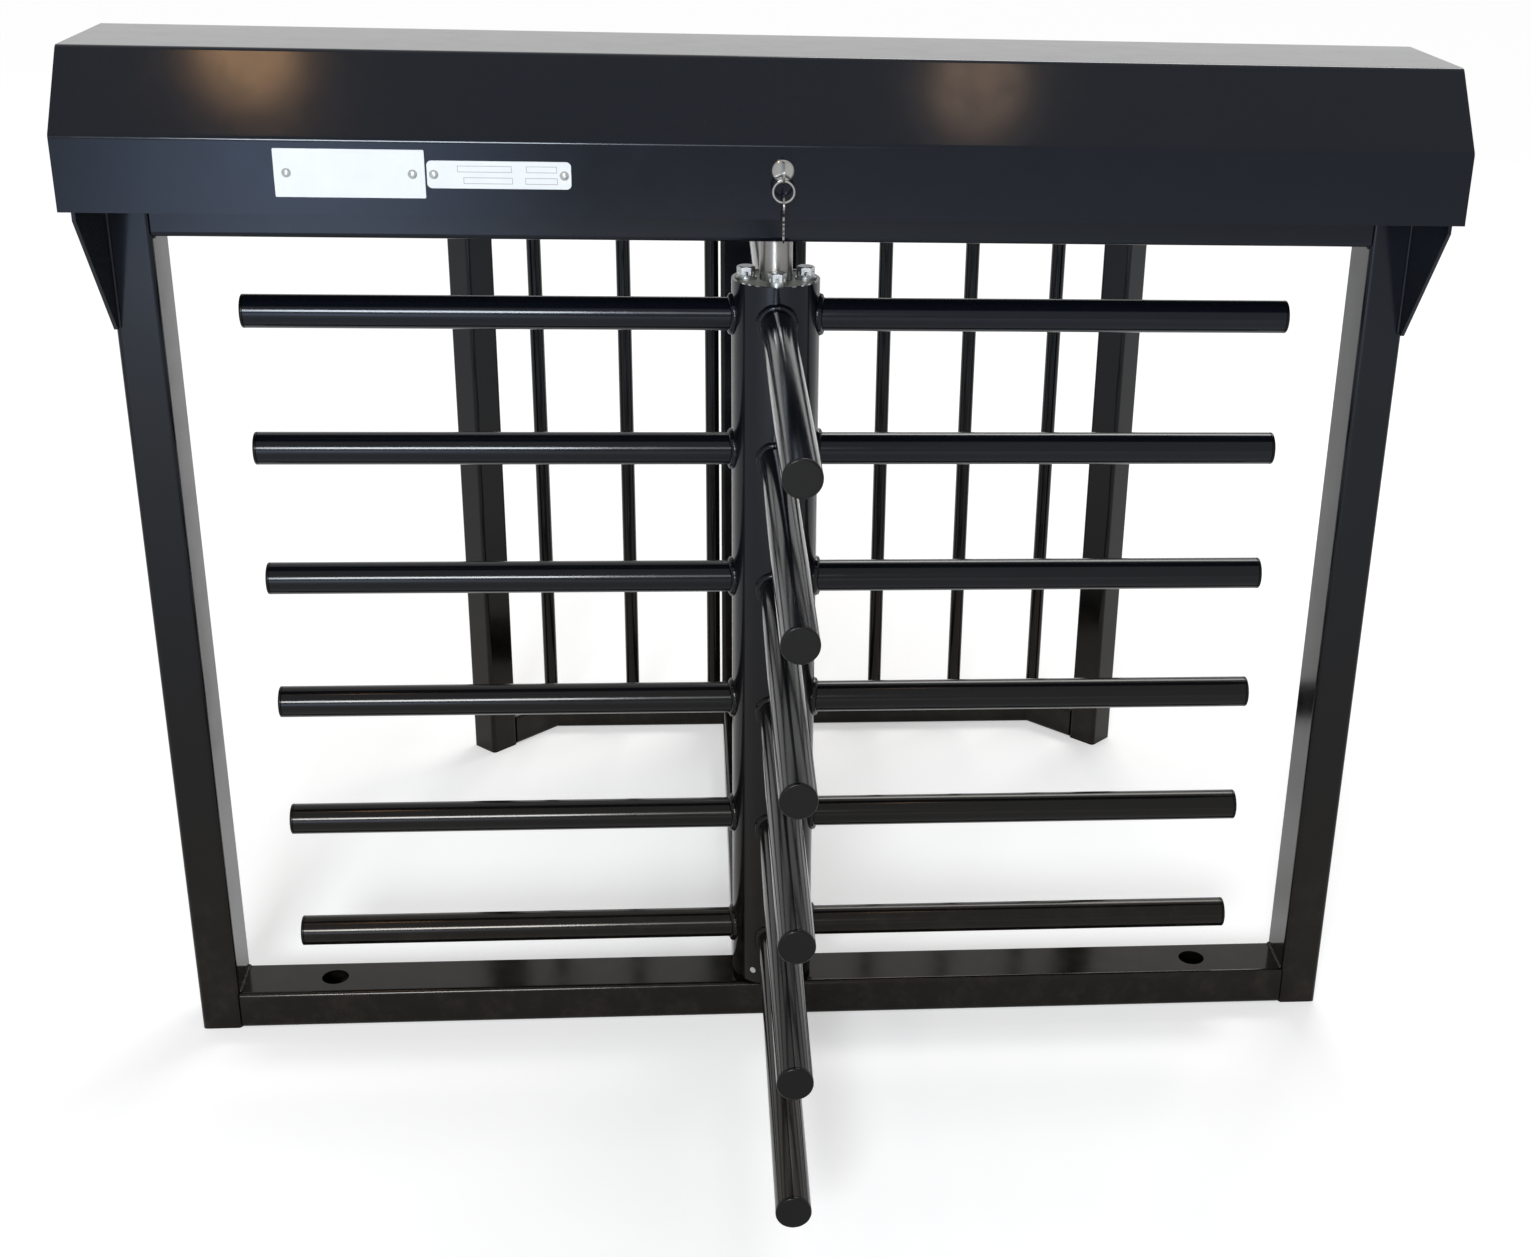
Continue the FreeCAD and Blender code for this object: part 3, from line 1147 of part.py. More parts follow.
def small_plate():
    """Bare plate beside it."""
    return bare_plate(SMALL_PLATE_X, SMALL_PLATE_WIDTH, SMALL_PLATE_HEIGHT, SMALL_PLATE_CORNER)


def rivet_head():
    """Hollow dome of a blind rivet, turned about +X."""
    rim = RIVET_HEAD_DIAMETER / 2
    bore = RIVET_HOLE_DIAMETER / 2
    floor = RIVET_HEAD_RISE - RIVET_HOLE_DEPTH
    dome = (rim ** 2 + RIVET_HEAD_RISE ** 2) / (2 * RIVET_HEAD_RISE)
    crown = []
    for radius in (rim, (rim + bore) / 2, bore):
        rise = RIVET_HEAD_RISE - dome + math.sqrt(dome ** 2 - radius ** 2)
        crown.append(FreeCAD.Vector(rise, radius, 0))
    inside = [crown[2], FreeCAD.Vector(floor, bore, 0), FreeCAD.Vector(floor, 0, 0), ORIGIN, crown[0]]
    outline = Part.Wire([Part.Arc(*crown).toShape()] + Part.makePolygon(inside).Edges)
    return Part.Face(outline).revolve(ORIGIN, X_AXIS, 360)


def plate_rivets():
    """Rivet heads at both ends of each plate."""
    rivets = []
    face = HOOD_FRONT - PLATE_SHEET
    large_reach = LARGE_PLATE_WIDTH / 2 - LARGE_PLATE_RIVET_INSET
    small_reach = SMALL_PLATE_WIDTH / 2 - SMALL_PLATE_RIVET_INSET
    for middle, reach in ((LARGE_PLATE_X, large_reach), (SMALL_PLATE_X, small_reach)):
        for x in (middle - reach, middle + reach):
            seat = FreeCAD.Vector(x, face, HOOD_BOTTOM + PLATE_RISE)
            rivets.append(oriented(rivet_head(), seat, Y_AXIS * -1, Z_AXIS))
    return group(rivets)


def nodes():
    """Every piece of the turnstile by its name."""
    low_rail = BARRIER_TUBE / 2
    high_rail = BARRIER_HEIGHT - BARRIER_TUBE / 2
    pieces = {
        "base_rail": base_rail(),
        "left_upright": mirrored(right_upright()),
        "right_upright": right_upright(),
        "head_rail": head_rail(),
        "hood_gussets": both_sides([gusset(-1), gusset(1)]),
        "spine_rail": spine_rail(),
        "barrier_bottom_rail": barrier_rail(low_rail),
        "barrier_top_rail": barrier_rail(high_rail),
        "barrier_wings": group([barrier_wing(side, height) for height in (low_rail, high_rail) for side in (-1, 1)]),
        "end_posts": group([end_post(side) for side in (-1, 1)]),
        "end_post_caps": group([post_cap(side) for side in (-1, 1)]),
        "centre_post": centre_post(),
        "pickets": pickets(),
        "column": column(),
        "column_collar": column_collar(),
        "shaft_flange": shaft_flange(),
        "flange_washers": flange_washers(),
        "flange_bolts": flange_bolts(),
        "rotor_shaft": shaft(),
        "pivot_pin": pivot_pin(),
        "thrust_washer": thrust_washer(),
        "foot_bush": foot_bush(),
        "foot_plug": foot_plug(),
        "foot_screws": foot_screws(),
        "chassis_plate": chassis_plate(),
        "hood": hood(),
        "hood_rest_tabs": rest_tabs(),
        "rest_bumpers": rest_bumpers(),
        "hinge_fixed_leaves": group(fixed_leaves() + hinge_pins()),
        "hinge_moving_leaves": group(moving_leaves()),
        "bearing_housing": bearing_housing(),
        "housing_bolts": housing_bolts(),
        "bearing_outer_race": bearing_outer_race(),
        "bearing_inner_race": bearing_inner_race(),
        "bearing_rollers": bearing_rollers(),
        "lock_disc": lock_disc(),
        "disc_key": disc_key(),
        "shaft_collar": shaft_collar(),
        "entry_pawl": mirrored(pawl()),
        "exit_pawl": pawl(),
        "pawl_posts": both_sides([pawl_post()]),
        "entry_plunger": mirrored(plunger()),
        "exit_plunger": plunger(),
        "solenoids": both_sides([solenoid()]),
        "solenoid_stands": both_sides([solenoid_stand()]),
        "lock_body": group([lock_body(), lock_nut()]),
        "lock_plug": lock_plug(),
        "lock_tongue": group([lock_tongue(), tongue_screw()]),
        "catch_bracket": catch_bracket(),
        "lock_key": lock_key(),
        "key_ring": key_ring(),
        "spare_key": spare_key(),
        "name_plates": group([large_plate(), small_plate()]),
        "plate_rivets": plate_rivets(),
    }
    caps = []
    for name, angle in WINGS.items():
        pieces[name + "_wing_arms"] = group(wing_arms(angle))
        caps += wing_caps(angle)
    pieces["arm_caps"] = group(caps)
    return pieces


def main():
    os.makedirs("parts", exist_ok=True)
    for name, shape in nodes().items():
        shape.exportStep("parts/" + name + ".step")


main()
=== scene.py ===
import json
import math

import bpy
from mathutils import Matrix, Vector


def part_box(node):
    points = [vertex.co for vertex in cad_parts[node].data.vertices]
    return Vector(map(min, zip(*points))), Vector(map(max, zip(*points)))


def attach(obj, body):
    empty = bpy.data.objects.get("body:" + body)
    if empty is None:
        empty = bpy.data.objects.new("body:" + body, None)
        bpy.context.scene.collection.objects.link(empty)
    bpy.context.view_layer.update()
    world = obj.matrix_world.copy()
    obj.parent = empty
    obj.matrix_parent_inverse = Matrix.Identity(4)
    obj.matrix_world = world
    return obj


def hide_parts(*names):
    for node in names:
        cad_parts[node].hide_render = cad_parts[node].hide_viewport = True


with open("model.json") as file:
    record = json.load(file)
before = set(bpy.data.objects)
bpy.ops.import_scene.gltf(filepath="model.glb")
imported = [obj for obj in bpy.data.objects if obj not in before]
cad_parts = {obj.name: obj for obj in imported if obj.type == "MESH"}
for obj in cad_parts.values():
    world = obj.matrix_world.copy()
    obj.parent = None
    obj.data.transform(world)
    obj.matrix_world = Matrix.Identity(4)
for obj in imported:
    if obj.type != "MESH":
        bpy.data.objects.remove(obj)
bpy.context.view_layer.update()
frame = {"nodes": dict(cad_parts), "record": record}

# Looks of the half height turnstile: black powder coat, bare and plated steel, weld beads.
# Metres, in the frame of the CAD model: +X along the portal, -Y the front, +Z up.

# Camera, at the photograph's place and angle
PHOTO_WIDTH = 1531
PHOTO_HEIGHT = 1257
CAMERA_PLACE = Vector((-0.0984, -2.3550, 1.5104))
CAMERA_PITCH = 23.996
CAMERA_YAW = 5.700
CAMERA_ROLL = 1.727
FOCAL_PIXELS = 2075.0
CENTRE_X = 882.7
CENTRE_Y = 685.0
SENSOR = 36.0

# Counts of what repeats
WINGS = 4
ROWS = 6
PICKETS = 7

# Smooth shading is broken at edges sharper than these angles
CAD_SHARP = math.radians(28)
CAP_SHARP = math.radians(35)
FASTENER_SHARP = math.radians(30)
BOLT_SHARP = math.radians(20)

# Sizes repeated from the CAD model
CORNER = 0.006
GUSSET_SHEET = 0.004
HINGE_LENGTH = 0.090
LEAF_FACE = 0.163
FLANGE_WASHER_RADIUS = 0.012
SMALL_PLATE_WIDTH = 0.147

# Heights between which the coat's colour and specular tint turn from a painted warm floor reflection to a
# painted cool sheen of the light from above, and below which it is scuffed with a painted brown floor
# reflection mixed in
PAINTED_WARM_LIGHT_HEIGHT = 0.15
PAINTED_COOL_LIGHT_HEIGHT = 1.05
SCUFF_AND_REFLECTION_HEIGHT = 0.30

# Weld beads: radius of each kind
ARM_BEAD = 0.0052
FRAME_BEAD = 0.0032
PICKET_BEAD = 0.0025

# Relief of a bead in shares of its radius; the two waves of the waver are in radians per metre
BEAD_WAIST = 0.90
RIPPLE = 0.12
RIPPLE_PITCH = 0.0034
WAVER = 0.05
WAVER_SLOW = 143.0
WAVER_FAST = 391.0
WAVER_SHIFT = 1.3

# Points of a bead: distance along it, number round it, and number on the curves round an arm and a picket
BEAD_STEP = 0.0012
BEAD_SIDES = 8
SADDLE_POINTS = 48
PICKET_POINTS = 24

# Flanges of the arm caps: depth, rounded rim, bevel against the tube
CAP_FLANGE = 0.004
CAP_ROUND = 0.0016
CAP_ROUND_STEPS = 6
CAP_BEVEL = 0.001
CAP_SIDES = 48

# Screws of the hood hinges; the profile gives radius, rise and socket of each ring, in head diameters
SCREW_HEAD = 0.008
SCREW_SIDES = 24
SCREW_PROFILE = (
    (0.50, 0.0, False),
    (0.50, 0.10, False),
    (0.40, 0.24, False),
    (0.24, 0.28, True),
    (0.24, 0.10, True),
)
SCREW_PITCH = 0.030
SCREW_EDGE = 0.009

# Heads of the flange bolts, each with its spring washer; the crown is a share of the width across flats
BOLT_FLATS = 0.0184
BOLT_HEAD = 0.0100
BOLT_WASHER = 0.0024
BOLT_WASHER_RADIUS = 0.0104
BOLT_CROWN = 0.94
BOLT_CROWN_SLOPE = 30
BOLT_STEP = 0.0003
BOLT_SIDES = 72
BOLTS = 4

# Empty fields of the small plate: ends of each, from the plate's left edge, in the lower and upper row
FIELD_ROWS = (((0.037, 0.087), (0.100, 0.133)), ((0.031, 0.0865), (0.101, 0.1325)))
FIELD_HEIGHT = 0.0066
FIELD_PITCH = 0.0118
FIELD_LINE = 0.0006
FIELD_RISE = 0.0001

# Floor: half its width, and its own light where it is seen, near the object and far from it
FLOOR_HALF = 40.0
FLOOR_NEAR = 1.2
FLOOR_FAR = 6.0
FLOOR_NEAR_LIGHT = 0.40
FLOOR_FAR_LIGHT = 0.66

# Room light on the object, from dim in front to brighter behind, and how much it also grows upwards
ROOM_FRONT = 0.14
ROOM_BACK = 0.55
ROOM_FRONT_LEAN = -0.7
ROOM_BACK_LEAN = 1.0
ROOM_RISE = 0.55

# Doorway: discs over each other, for a soft edge, with the diameter and power of each
DOORWAY_PLACE = (-1.20, -4.0, 0.44)
DOORWAY_AIM = (-0.5, -0.16, 1.12)
DOORWAY_COLOUR = (0.57, 0.71, 1.0)
DOORWAY_DISCS = ((0.50, 3.2), (0.90, 7.0), (1.36, 8.0))

# Other lamps: name, place, aim, width, height (none for a disc), power in watts, colour
LAMPS = (
    ("ceiling_left", (-0.845, -0.545, 2.65), (-0.8, -0.4, 1.0), 0.16, None, 1.35, (1.0, 0.54, 0.24)),
    ("ceiling_right", (0.41, -0.575, 2.63), (0.4, -0.4, 1.0), 0.16, None, 0.6, (1.0, 0.62, 0.37)),
    ("window", (-1.08, -5.0, 2.35), (-0.3, 0.0, 0.8), 1.2, 0.90, 220.0, (0.90, 0.93, 0.95)),
    ("curtain", (-0.10, -5.0, 2.35), (-0.3, 0.0, 0.8), 0.75, 0.90, 14.0, (0.90, 0.935, 0.96)),
    ("back_box", (1.2, 3.0, 3.8), (0.0, 0.4, 0.6), 2.2, 1.2, 70.0, (1.0, 0.99, 0.97)),
)


# Materials

def new_material(name):
    """Empty material with a Principled shader."""
    material = bpy.data.materials.new(name)
    material.use_nodes = True
    tree = material.node_tree
    tree.nodes.clear()
    output = tree.nodes.new("ShaderNodeOutputMaterial")
    shader = tree.nodes.new("ShaderNodeBsdfPrincipled")
    tree.links.new(shader.outputs["BSDF"], output.inputs["Surface"])
    return material, tree, shader


def object_place(tree):
    """Coordinates of a surface point in metres, which move with its piece."""
    return tree.nodes.new("ShaderNodeTexCoord").outputs["Object"]


def noise(tree, place, scale, detail=3.0, roughness=0.5):
    """Soft cloud between 0 and 1, scale in waves per metre."""
    node = tree.nodes.new("ShaderNodeTexNoise")
    node.inputs["Scale"].default_value = scale
    node.inputs["Detail"].default_value = detail
    node.inputs["Roughness"].default_value = roughness
    tree.links.new(place, node.inputs["Vector"])
    return node.outputs["Fac"]


def stretched(tree, place, scale):
    """Place stretched along its axes, for brushed and turned marks."""
    node = tree.nodes.new("ShaderNodeMapping")
    node.inputs["Scale"].default_value = scale
    tree.links.new(place, node.inputs["Vector"])
    return node.outputs["Vector"]


def span(tree, value, low, high, to_low, to_high):
    """Value between low and high, mapped to another span and clamped."""
    node = tree.nodes.new("ShaderNodeMapRange")
    for name, number in (("From Min", low), ("From Max", high), ("To Min", to_low), ("To Max", to_high)):
        node.inputs[name].default_value = number
    tree.links.new(value, node.inputs["Value"])
    return node.outputs["Result"]


def times(tree, first, second):
    """Product of two values."""
    node = tree.nodes.new("ShaderNodeMath")
    node.operation = "MULTIPLY"
    tree.links.new(first, node.inputs[0])
    tree.links.new(second, node.inputs[1])
    return node.outputs["Value"]


def blend_colours(tree, share, first, second):
    """Colour from first to second as share goes from 0 to 1. Either may be a socket."""
    node = tree.nodes.new("ShaderNodeMix")
    node.data_type = "RGBA"
    tree.links.new(share, node.inputs["Factor"])
    for socket, colour in ((node.inputs[6], first), (node.inputs[7], second)):
        if isinstance(colour, tuple):
            socket.default_value = (*colour, 1.0)
        else:
            tree.links.new(colour, socket)
    return node.outputs[2]


def bump(tree, shader, height, depth):
    """Small relief, depth in metres."""
    node = tree.nodes.new("ShaderNodeBump")
    node.inputs["Strength"].default_value = 1.0
    node.inputs["Distance"].default_value = depth
    tree.links.new(height, node.inputs["Height"])
    tree.links.new(node.outputs["Normal"], shader.inputs["Normal"])


def height_above_floor(tree, place):
    """The Z of a surface point."""
    node = tree.nodes.new("ShaderNodeSeparateXYZ")
    tree.links.new(place, node.inputs["Vector"])
    return node.outputs["Z"]


def facing_up(tree):
    """Share by which a surface faces up."""
    geometry = tree.nodes.new("ShaderNodeNewGeometry")
    node = tree.nodes.new("ShaderNodeSeparateXYZ")
    tree.links.new(geometry.outputs["Normal"], node.inputs["Vector"])
    return span(tree, node.outputs["Z"], 0.3, 1.0, 0.0, 1.0)


def powder_coat():
    """Black semi-gloss coat: orange peel, clouds of gloss, dust on top; painted light in colour and specular
    tint, cool high up and warm low down; scuffs low down mixed with a painted brown floor reflection.
    """
    material, tree, shader = new_material("powder_coat")
    place = object_place(tree)
    clouds = noise(tree, place, 9.0, 4.0)
    height = height_above_floor(tree, place)
    # Painted light: the base colour runs from a painted warm floor reflection low down to a painted cool
    # sheen of the light from above
    cool_light_share = span(tree, height, PAINTED_WARM_LIGHT_HEIGHT, PAINTED_COOL_LIGHT_HEIGHT, 0.0, 1.0)
    warm = blend_colours(tree, clouds, (0.0024, 0.0020, 0.0017), (0.0036, 0.0031, 0.0026))
    cool = blend_colours(tree, clouds, (0.0022, 0.0032, 0.0060), (0.0034, 0.0046, 0.0080))
    colour = blend_colours(tree, cool_light_share, warm, cool)
    # Scuffs low down: partly real wear, partly a painted brown reflection of the floor
    low = span(tree, height, 0.0, SCUFF_AND_REFLECTION_HEIGHT, 1.0, 0.0)
    scuffs_and_floor_reflection = times(tree, low, span(tree, noise(tree, place, 38.0, 6.0, 0.65), 0.45, 0.75, 0.0, 0.7))
    colour = blend_colours(tree, scuffs_and_floor_reflection, colour, (0.018, 0.014, 0.010))
    grains = span(tree, noise(tree, place, 260.0, 5.0, 0.6), 0.5, 0.85, 0.0, 0.14)
    dust = times(tree, facing_up(tree), grains)
    colour = blend_colours(tree, dust, colour, (0.035, 0.035, 0.036))
    specks = span(tree, noise(tree, place, 620.0, 1.0), 0.80, 0.84, 0.0, 0.30)
    colour = blend_colours(tree, specks, colour, (0.10, 0.10, 0.10))
    tree.links.new(colour, shader.inputs["Base Color"])
    gloss = span(tree, noise(tree, place, 22.0, 5.0, 0.6), 0.3, 0.7, 0.11, 0.16)
    tree.links.new(gloss, shader.inputs["Roughness"])
    # Painted reflection: the specular tint is warm low down and cool high up
    painted_reflection_tint = blend_colours(tree, cool_light_share, (0.88, 0.83, 0.76), (0.83, 0.90, 1.0))
    tree.links.new(painted_reflection_tint, shader.inputs["Specular Tint"])
    shader.inputs["IOR"].default_value = 1.30
    bump(tree, shader, noise(tree, place, 420.0, 2.0), 0.0000025)
    return material


def moulded_plastic():
    """Black moulded caps: fine grain, less blue than the coat."""
    material, tree, shader = new_material("moulded_plastic")
    place = object_place(tree)
    clouds = noise(tree, place, 70.0, 4.0)
    colour = blend_colours(tree, clouds, (0.0018, 0.0018, 0.0019), (0.0034, 0.0032, 0.0030))
    tree.links.new(colour, shader.inputs["Base Color"])
    gloss = span(tree, noise(tree, place, 160.0, 3.0), 0.3, 0.7, 0.18, 0.26)
    tree.links.new(gloss, shader.inputs["Roughness"])
    shader.inputs["IOR"].default_value = 1.25
    bump(tree, shader, noise(tree, place, 1600.0, 2.0), 0.000004)
    return material


def metal(name, dark, light, rough_low, rough_high, grain, cloud_scale):
    """Bare or plated metal with drawn grain and clouded colour."""
    material, tree, shader = new_material(name)
    place = object_place(tree)
    colour = blend_colours(tree, noise(tree, place, cloud_scale, 5.0, 0.6), dark, light)
    tree.links.new(colour, shader.inputs["Base Color"])
    shader.inputs["Metallic"].default_value = 1.0
    marks = noise(tree, stretched(tree, place, grain), 1.0, 3.0, 0.6)
    tree.links.new(span(tree, marks, 0.25, 0.75, rough_low, rough_high), shader.inputs["Roughness"])
    bump(tree, shader, marks, 0.00002)
    return material


def turned(name, dark, light, rough_low, rough_high):
    """Metal turned about an upright axis: fine rings, which draw every highlight out upwards."""
    material = metal(name, dark, light, rough_low, rough_high, (12, 12, 2600), 30.0)
    tree = material.node_tree
    shader = [node for node in tree.nodes if node.type == "BSDF_PRINCIPLED"][0]
    around = tree.nodes.new("ShaderNodeTangent")
    around.direction_type = "RADIAL"
    around.axis = "Z"
    tree.links.new(around.outputs["Tangent"], shader.inputs["Tangent"])
    shader.inputs["Anisotropic"].default_value = 0.85
    shader.inputs["Anisotropic Rotation"].default_value = 0.25
    return material


def painted(name, dark, light, rough_low, rough_high, grain_scale, relief):
    """Surface with a grain and no metal shine: castings, rubber, coil wrap, dull steel, plates."""
    material, tree, shader = new_material(name)
    place = object_place(tree)
    grain = noise(tree, place, grain_scale, 4.0, 0.6)
    tree.links.new(blend_colours(tree, grain, dark, light), shader.inputs["Base Color"])
    tree.links.new(span(tree, grain, 0.3, 0.7, rough_low, rough_high), shader.inputs["Roughness"])
    bump(tree, shader, grain, relief)
    return material


MATERIALS = {
    "powder_coat": powder_coat(),
    "cap": moulded_plastic(),
    "bare_steel": painted(
        "bare_steel", (0.25, 0.25, 0.21), (0.35, 0.35, 0.30), 0.42, 0.60, 130.0, 0.00002),
    "turned_steel": turned("turned_steel", (0.20, 0.196, 0.19), (0.32, 0.315, 0.305), 0.30, 0.42),
    "zinc_plate": metal(
        "zinc_plate", (0.32, 0.335, 0.34), (0.47, 0.485, 0.49), 0.26, 0.40, (260, 260, 260), 160.0),
    "bronze": metal(
        "bronze", (0.38, 0.24, 0.10), (0.52, 0.35, 0.16), 0.25, 0.45, (20, 20, 1800), 80.0),
    "cast_iron": painted(
        "cast_iron", (0.06, 0.065, 0.07), (0.12, 0.125, 0.13), 0.5, 0.7, 420.0, 0.00025),
    "rubber": painted(
        "rubber", (0.012, 0.012, 0.012), (0.03, 0.03, 0.03), 0.65, 0.85, 900.0, 0.00005),
    "coil": painted(
        "coil", (0.035, 0.035, 0.04), (0.09, 0.09, 0.10), 0.35, 0.6, 240.0, 0.0001),
    "chrome": metal(
        "chrome", (0.23, 0.227, 0.223), (0.33, 0.326, 0.32), 0.10, 0.20, (90, 90, 90), 40.0),
    "nickel": metal(
        "nickel", (0.14, 0.136, 0.127), (0.25, 0.242, 0.226), 0.18, 0.32, (300, 900, 300), 120.0),
    "bare_plate": painted(
        "bare_plate", (0.60, 0.63, 0.645), (0.67, 0.695, 0.705), 0.28, 0.40, 45.0, 0.00001),
}


def dress_cad_nodes():
    """Gives every CAD node the material of its slot, and smooth shading on its curves."""
    for part in frame["record"]["subparts"]:
        node = frame["nodes"][part["node"]]
        node.data.materials.clear()
        node.data.materials.append(MATERIALS[part["material_slot"]])
        node.data.shade_smooth()
        node.data.set_sharp_from_angle(angle=CAD_SHARP)


# Meshes

def round_angles(count):
    """Angles of a full turn in even steps."""
    return [2 * math.pi * i / count for i in range(count)]


def join_rings(first, rows, count, faces, closed=False):
    """Adds the walls between rows of ring points, numbered from first, and both ends unless it is a loop."""
    spans = rows if closed else rows - 1
    for row in range(spans):
        low = first + row * count
        high = first + (row + 1) % rows * count
        for i in range(count):
            k = (i + 1) % count
            faces.append((low + i, low + k, high + k, high + i))
    if not closed:
        last = first + (rows - 1) * count
        faces.append(tuple(reversed(range(first, first + count))))
        faces.append(tuple(range(last, last + count)))


def mesh_piece(name, vertices, faces, body, slot):
    """New smooth piece that moves with a body and wears the material of a slot."""
    mesh = bpy.data.meshes.new(name)
    mesh.from_pydata([tuple(v) for v in vertices], [], faces)
    mesh.validate()
    mesh.materials.append(MATERIALS[slot])
    mesh.shade_smooth()
    piece = bpy.data.objects.new(name, mesh)
    bpy.context.scene.collection.objects.link(piece)
    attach(piece, body)
    return piece


# Weld beads

def ring_of(centre, side, tangent, radius):
    """Points of one section of a bead."""
    other = tangent.cross(side)
    points = []
    for angle in round_angles(BEAD_SIDES):
        points.append(centre + (side * math.cos(angle) + other * math.sin(angle)) * radius)
    return points


def even_points(path, closed):
    """Points along a path, evenly spaced at about the bead step."""
    corners = path + [path[0]] if closed else path
    points = []
    for start, end in zip(corners, corners[1:]):
        count = max(1, round((end - start).length / BEAD_STEP))
        points += [start.lerp(end, i / count) for i in range(count)]
    return points if closed else points + [corners[-1]]


def rippled(radius, distance):
    """Radius of a bead at a distance along it: overlapping scales and a slow waver."""
    scale = abs(math.sin(math.pi * distance / RIPPLE_PITCH))
    waver = math.sin(distance * WAVER_SLOW) + math.sin(distance * WAVER_FAST + WAVER_SHIFT)
    return radius * (BEAD_WAIST + RIPPLE * scale + WAVER * waver)


def bead(path, radius, closed, vertices, faces):
    """Adds one bead along a path to a mesh in the making."""
    points = even_points(path, closed)
    first = len(vertices)
    distance = 0.0
    side = (points[1] - points[0]).orthogonal()
    for i, point in enumerate(points):
        before = points[i - 1] if closed or i else point
        after = points[(i + 1) % len(points)] if closed or i + 1 < len(points) else point
        distance += (point - points[i - 1]).length if i else 0.0
        tangent = (after - before).normalized()
        side = (side - tangent * side.dot(tangent)).normalized()
        vertices += ring_of(point, side, tangent, rippled(radius, distance))
    join_rings(first, len(points), BEAD_SIDES, faces, closed)


def beads_piece(name, paths, radius, closed, body):
    """Makes one piece of several beads."""
    vertices = []
    faces = []
    for path in paths:
        bead(path, radius, closed, vertices, faces)
    mesh_piece(name, vertices, faces, body, "powder_coat")


def arm_rows():
    """Radius of the arms, and the height of each row."""
    low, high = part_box("right_wing_arms")
    radius = (high.y - low.y) / 2
    pitch = (high.z - low.z - 2 * radius) / (ROWS - 1)
    return radius, [low.z + radius + pitch * row for row in range(ROWS)]


def wing_turn(wing):
    """Turn about the rotor's axis that brings the right wing to another one."""
    return Matrix.Rotation(math.radians(360 / WINGS * wing), 3, "Z")


def arm_root_paths():
    """Saddle curves where the arms meet the column."""
    low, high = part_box("column")
    column_radius = (high.x - low.x) / 2
    arm_radius, heights = arm_rows()
    paths = []
    for wing in range(WINGS):
        turn = wing_turn(wing)
        for centre in heights:
            path = []
            for angle in round_angles(SADDLE_POINTS):
                y = arm_radius * math.sin(angle)
                x = math.sqrt(column_radius ** 2 - y ** 2)
                path.append(turn @ Vector((x, y, centre + arm_radius * math.cos(angle))))
            paths.append(path)
    return paths


def portal_paths():
    """Beads across the rails in the portal's corners, and over the ends of the spine."""
    paths = []
    for node, level in (("base_rail", 1), ("head_rail", 0)):
        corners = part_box(node)
        z = corners[level].z
        for x in (corners[0].x, corners[1].x):
            paths.append([Vector((x, corners[0].y + CORNER, z)), Vector((x, corners[1].y - CORNER, z))])
    low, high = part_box("spine_rail")
    for y in (low.y, high.y):
        paths.append([Vector((low.x + CORNER, y, high.z)), Vector((high.x - CORNER, y, high.z))])
    return paths


def gusset_paths():
    """Beads along the inner sides of the gusset plates."""
    low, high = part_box("hood_gussets")
    post_low, post_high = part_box("right_upright")
    paths = []
    for x in (low.x + GUSSET_SHEET, high.x - GUSSET_SHEET):
        for y in (post_low.y, post_high.y):
            paths.append([Vector((x, y, low.z)), Vector((x, y, high.z - FRAME_BEAD))])
    return paths


def centre_post_paths():
    """Beads round the front and sides of the centre post's ends; the back is ground flush."""
    low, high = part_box("centre_post")
    back = high.y - CORNER
    paths = []
    for z in (low.z, high.z):
        corners = [(low.x, back), (low.x, low.y), (high.x, low.y), (high.x, back)]
        paths.append([Vector((x, y, z)) for x, y in corners])
    return paths


def picket_paths():
    """Small rings at both ends of every picket."""
    low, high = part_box("pickets")
    radius = (high.y - low.y) / 2
    pitch = (high.x - low.x - 2 * radius) / (PICKETS - 1)
    paths = []
    for i in range(PICKETS):
        for z in (low.z, high.z):
            centre = Vector((low.x + radius + pitch * i, low.y + radius, z))
            path = []
            for angle in round_angles(PICKET_POINTS):
                path.append(centre + Vector((math.cos(angle), math.sin(angle), 0)) * radius)
            paths.append(path)
    return paths


def weld_beads():
    """All the visible welds, under the coat."""
    beads_piece("arm_root_welds", arm_root_paths(), ARM_BEAD, True, "rotor")
    beads_piece("portal_welds", portal_paths(), FRAME_BEAD, False, "frame")
    beads_piece("gusset_welds", gusset_paths(), PICKET_BEAD, False, "frame")
    beads_piece("centre_post_welds", centre_post_paths(), PICKET_BEAD, False, "frame")
    beads_piece("picket_welds", picket_paths(), PICKET_BEAD, True, "frame")


# Arm caps

def cap_rings(radius):
    """Radius and depth of each ring of a cap: a bevel against the tube, a rounded rim, the flat face."""
    rings = [(radius - CAP_BEVEL, CAP_FLANGE), (radius, CAP_FLANGE - CAP_BEVEL)]
    for step in range(CAP_ROUND_STEPS, -1, -1):
        angle = math.radians(90 / CAP_ROUND_STEPS * step)
        rings.append((radius - CAP_ROUND * (1 - math.sin(angle)), CAP_ROUND * (1 - math.cos(angle))))
    rings.append((radius - 2 * CAP_ROUND, 0.0))
    return rings


def cap(place, outward, rings, vertices, faces):
    """Adds one cap to a mesh in the making."""
    up = Vector((0, 0, 1))
    side = up.cross(outward)
    first = len(vertices)
    for radius, depth in rings:
        for angle in round_angles(CAP_SIDES):
            spoke = side * math.cos(angle) + up * math.sin(angle)
            vertices.append(place - outward * depth + spoke * radius)
    join_rings(first, len(rings), CAP_SIDES, faces)


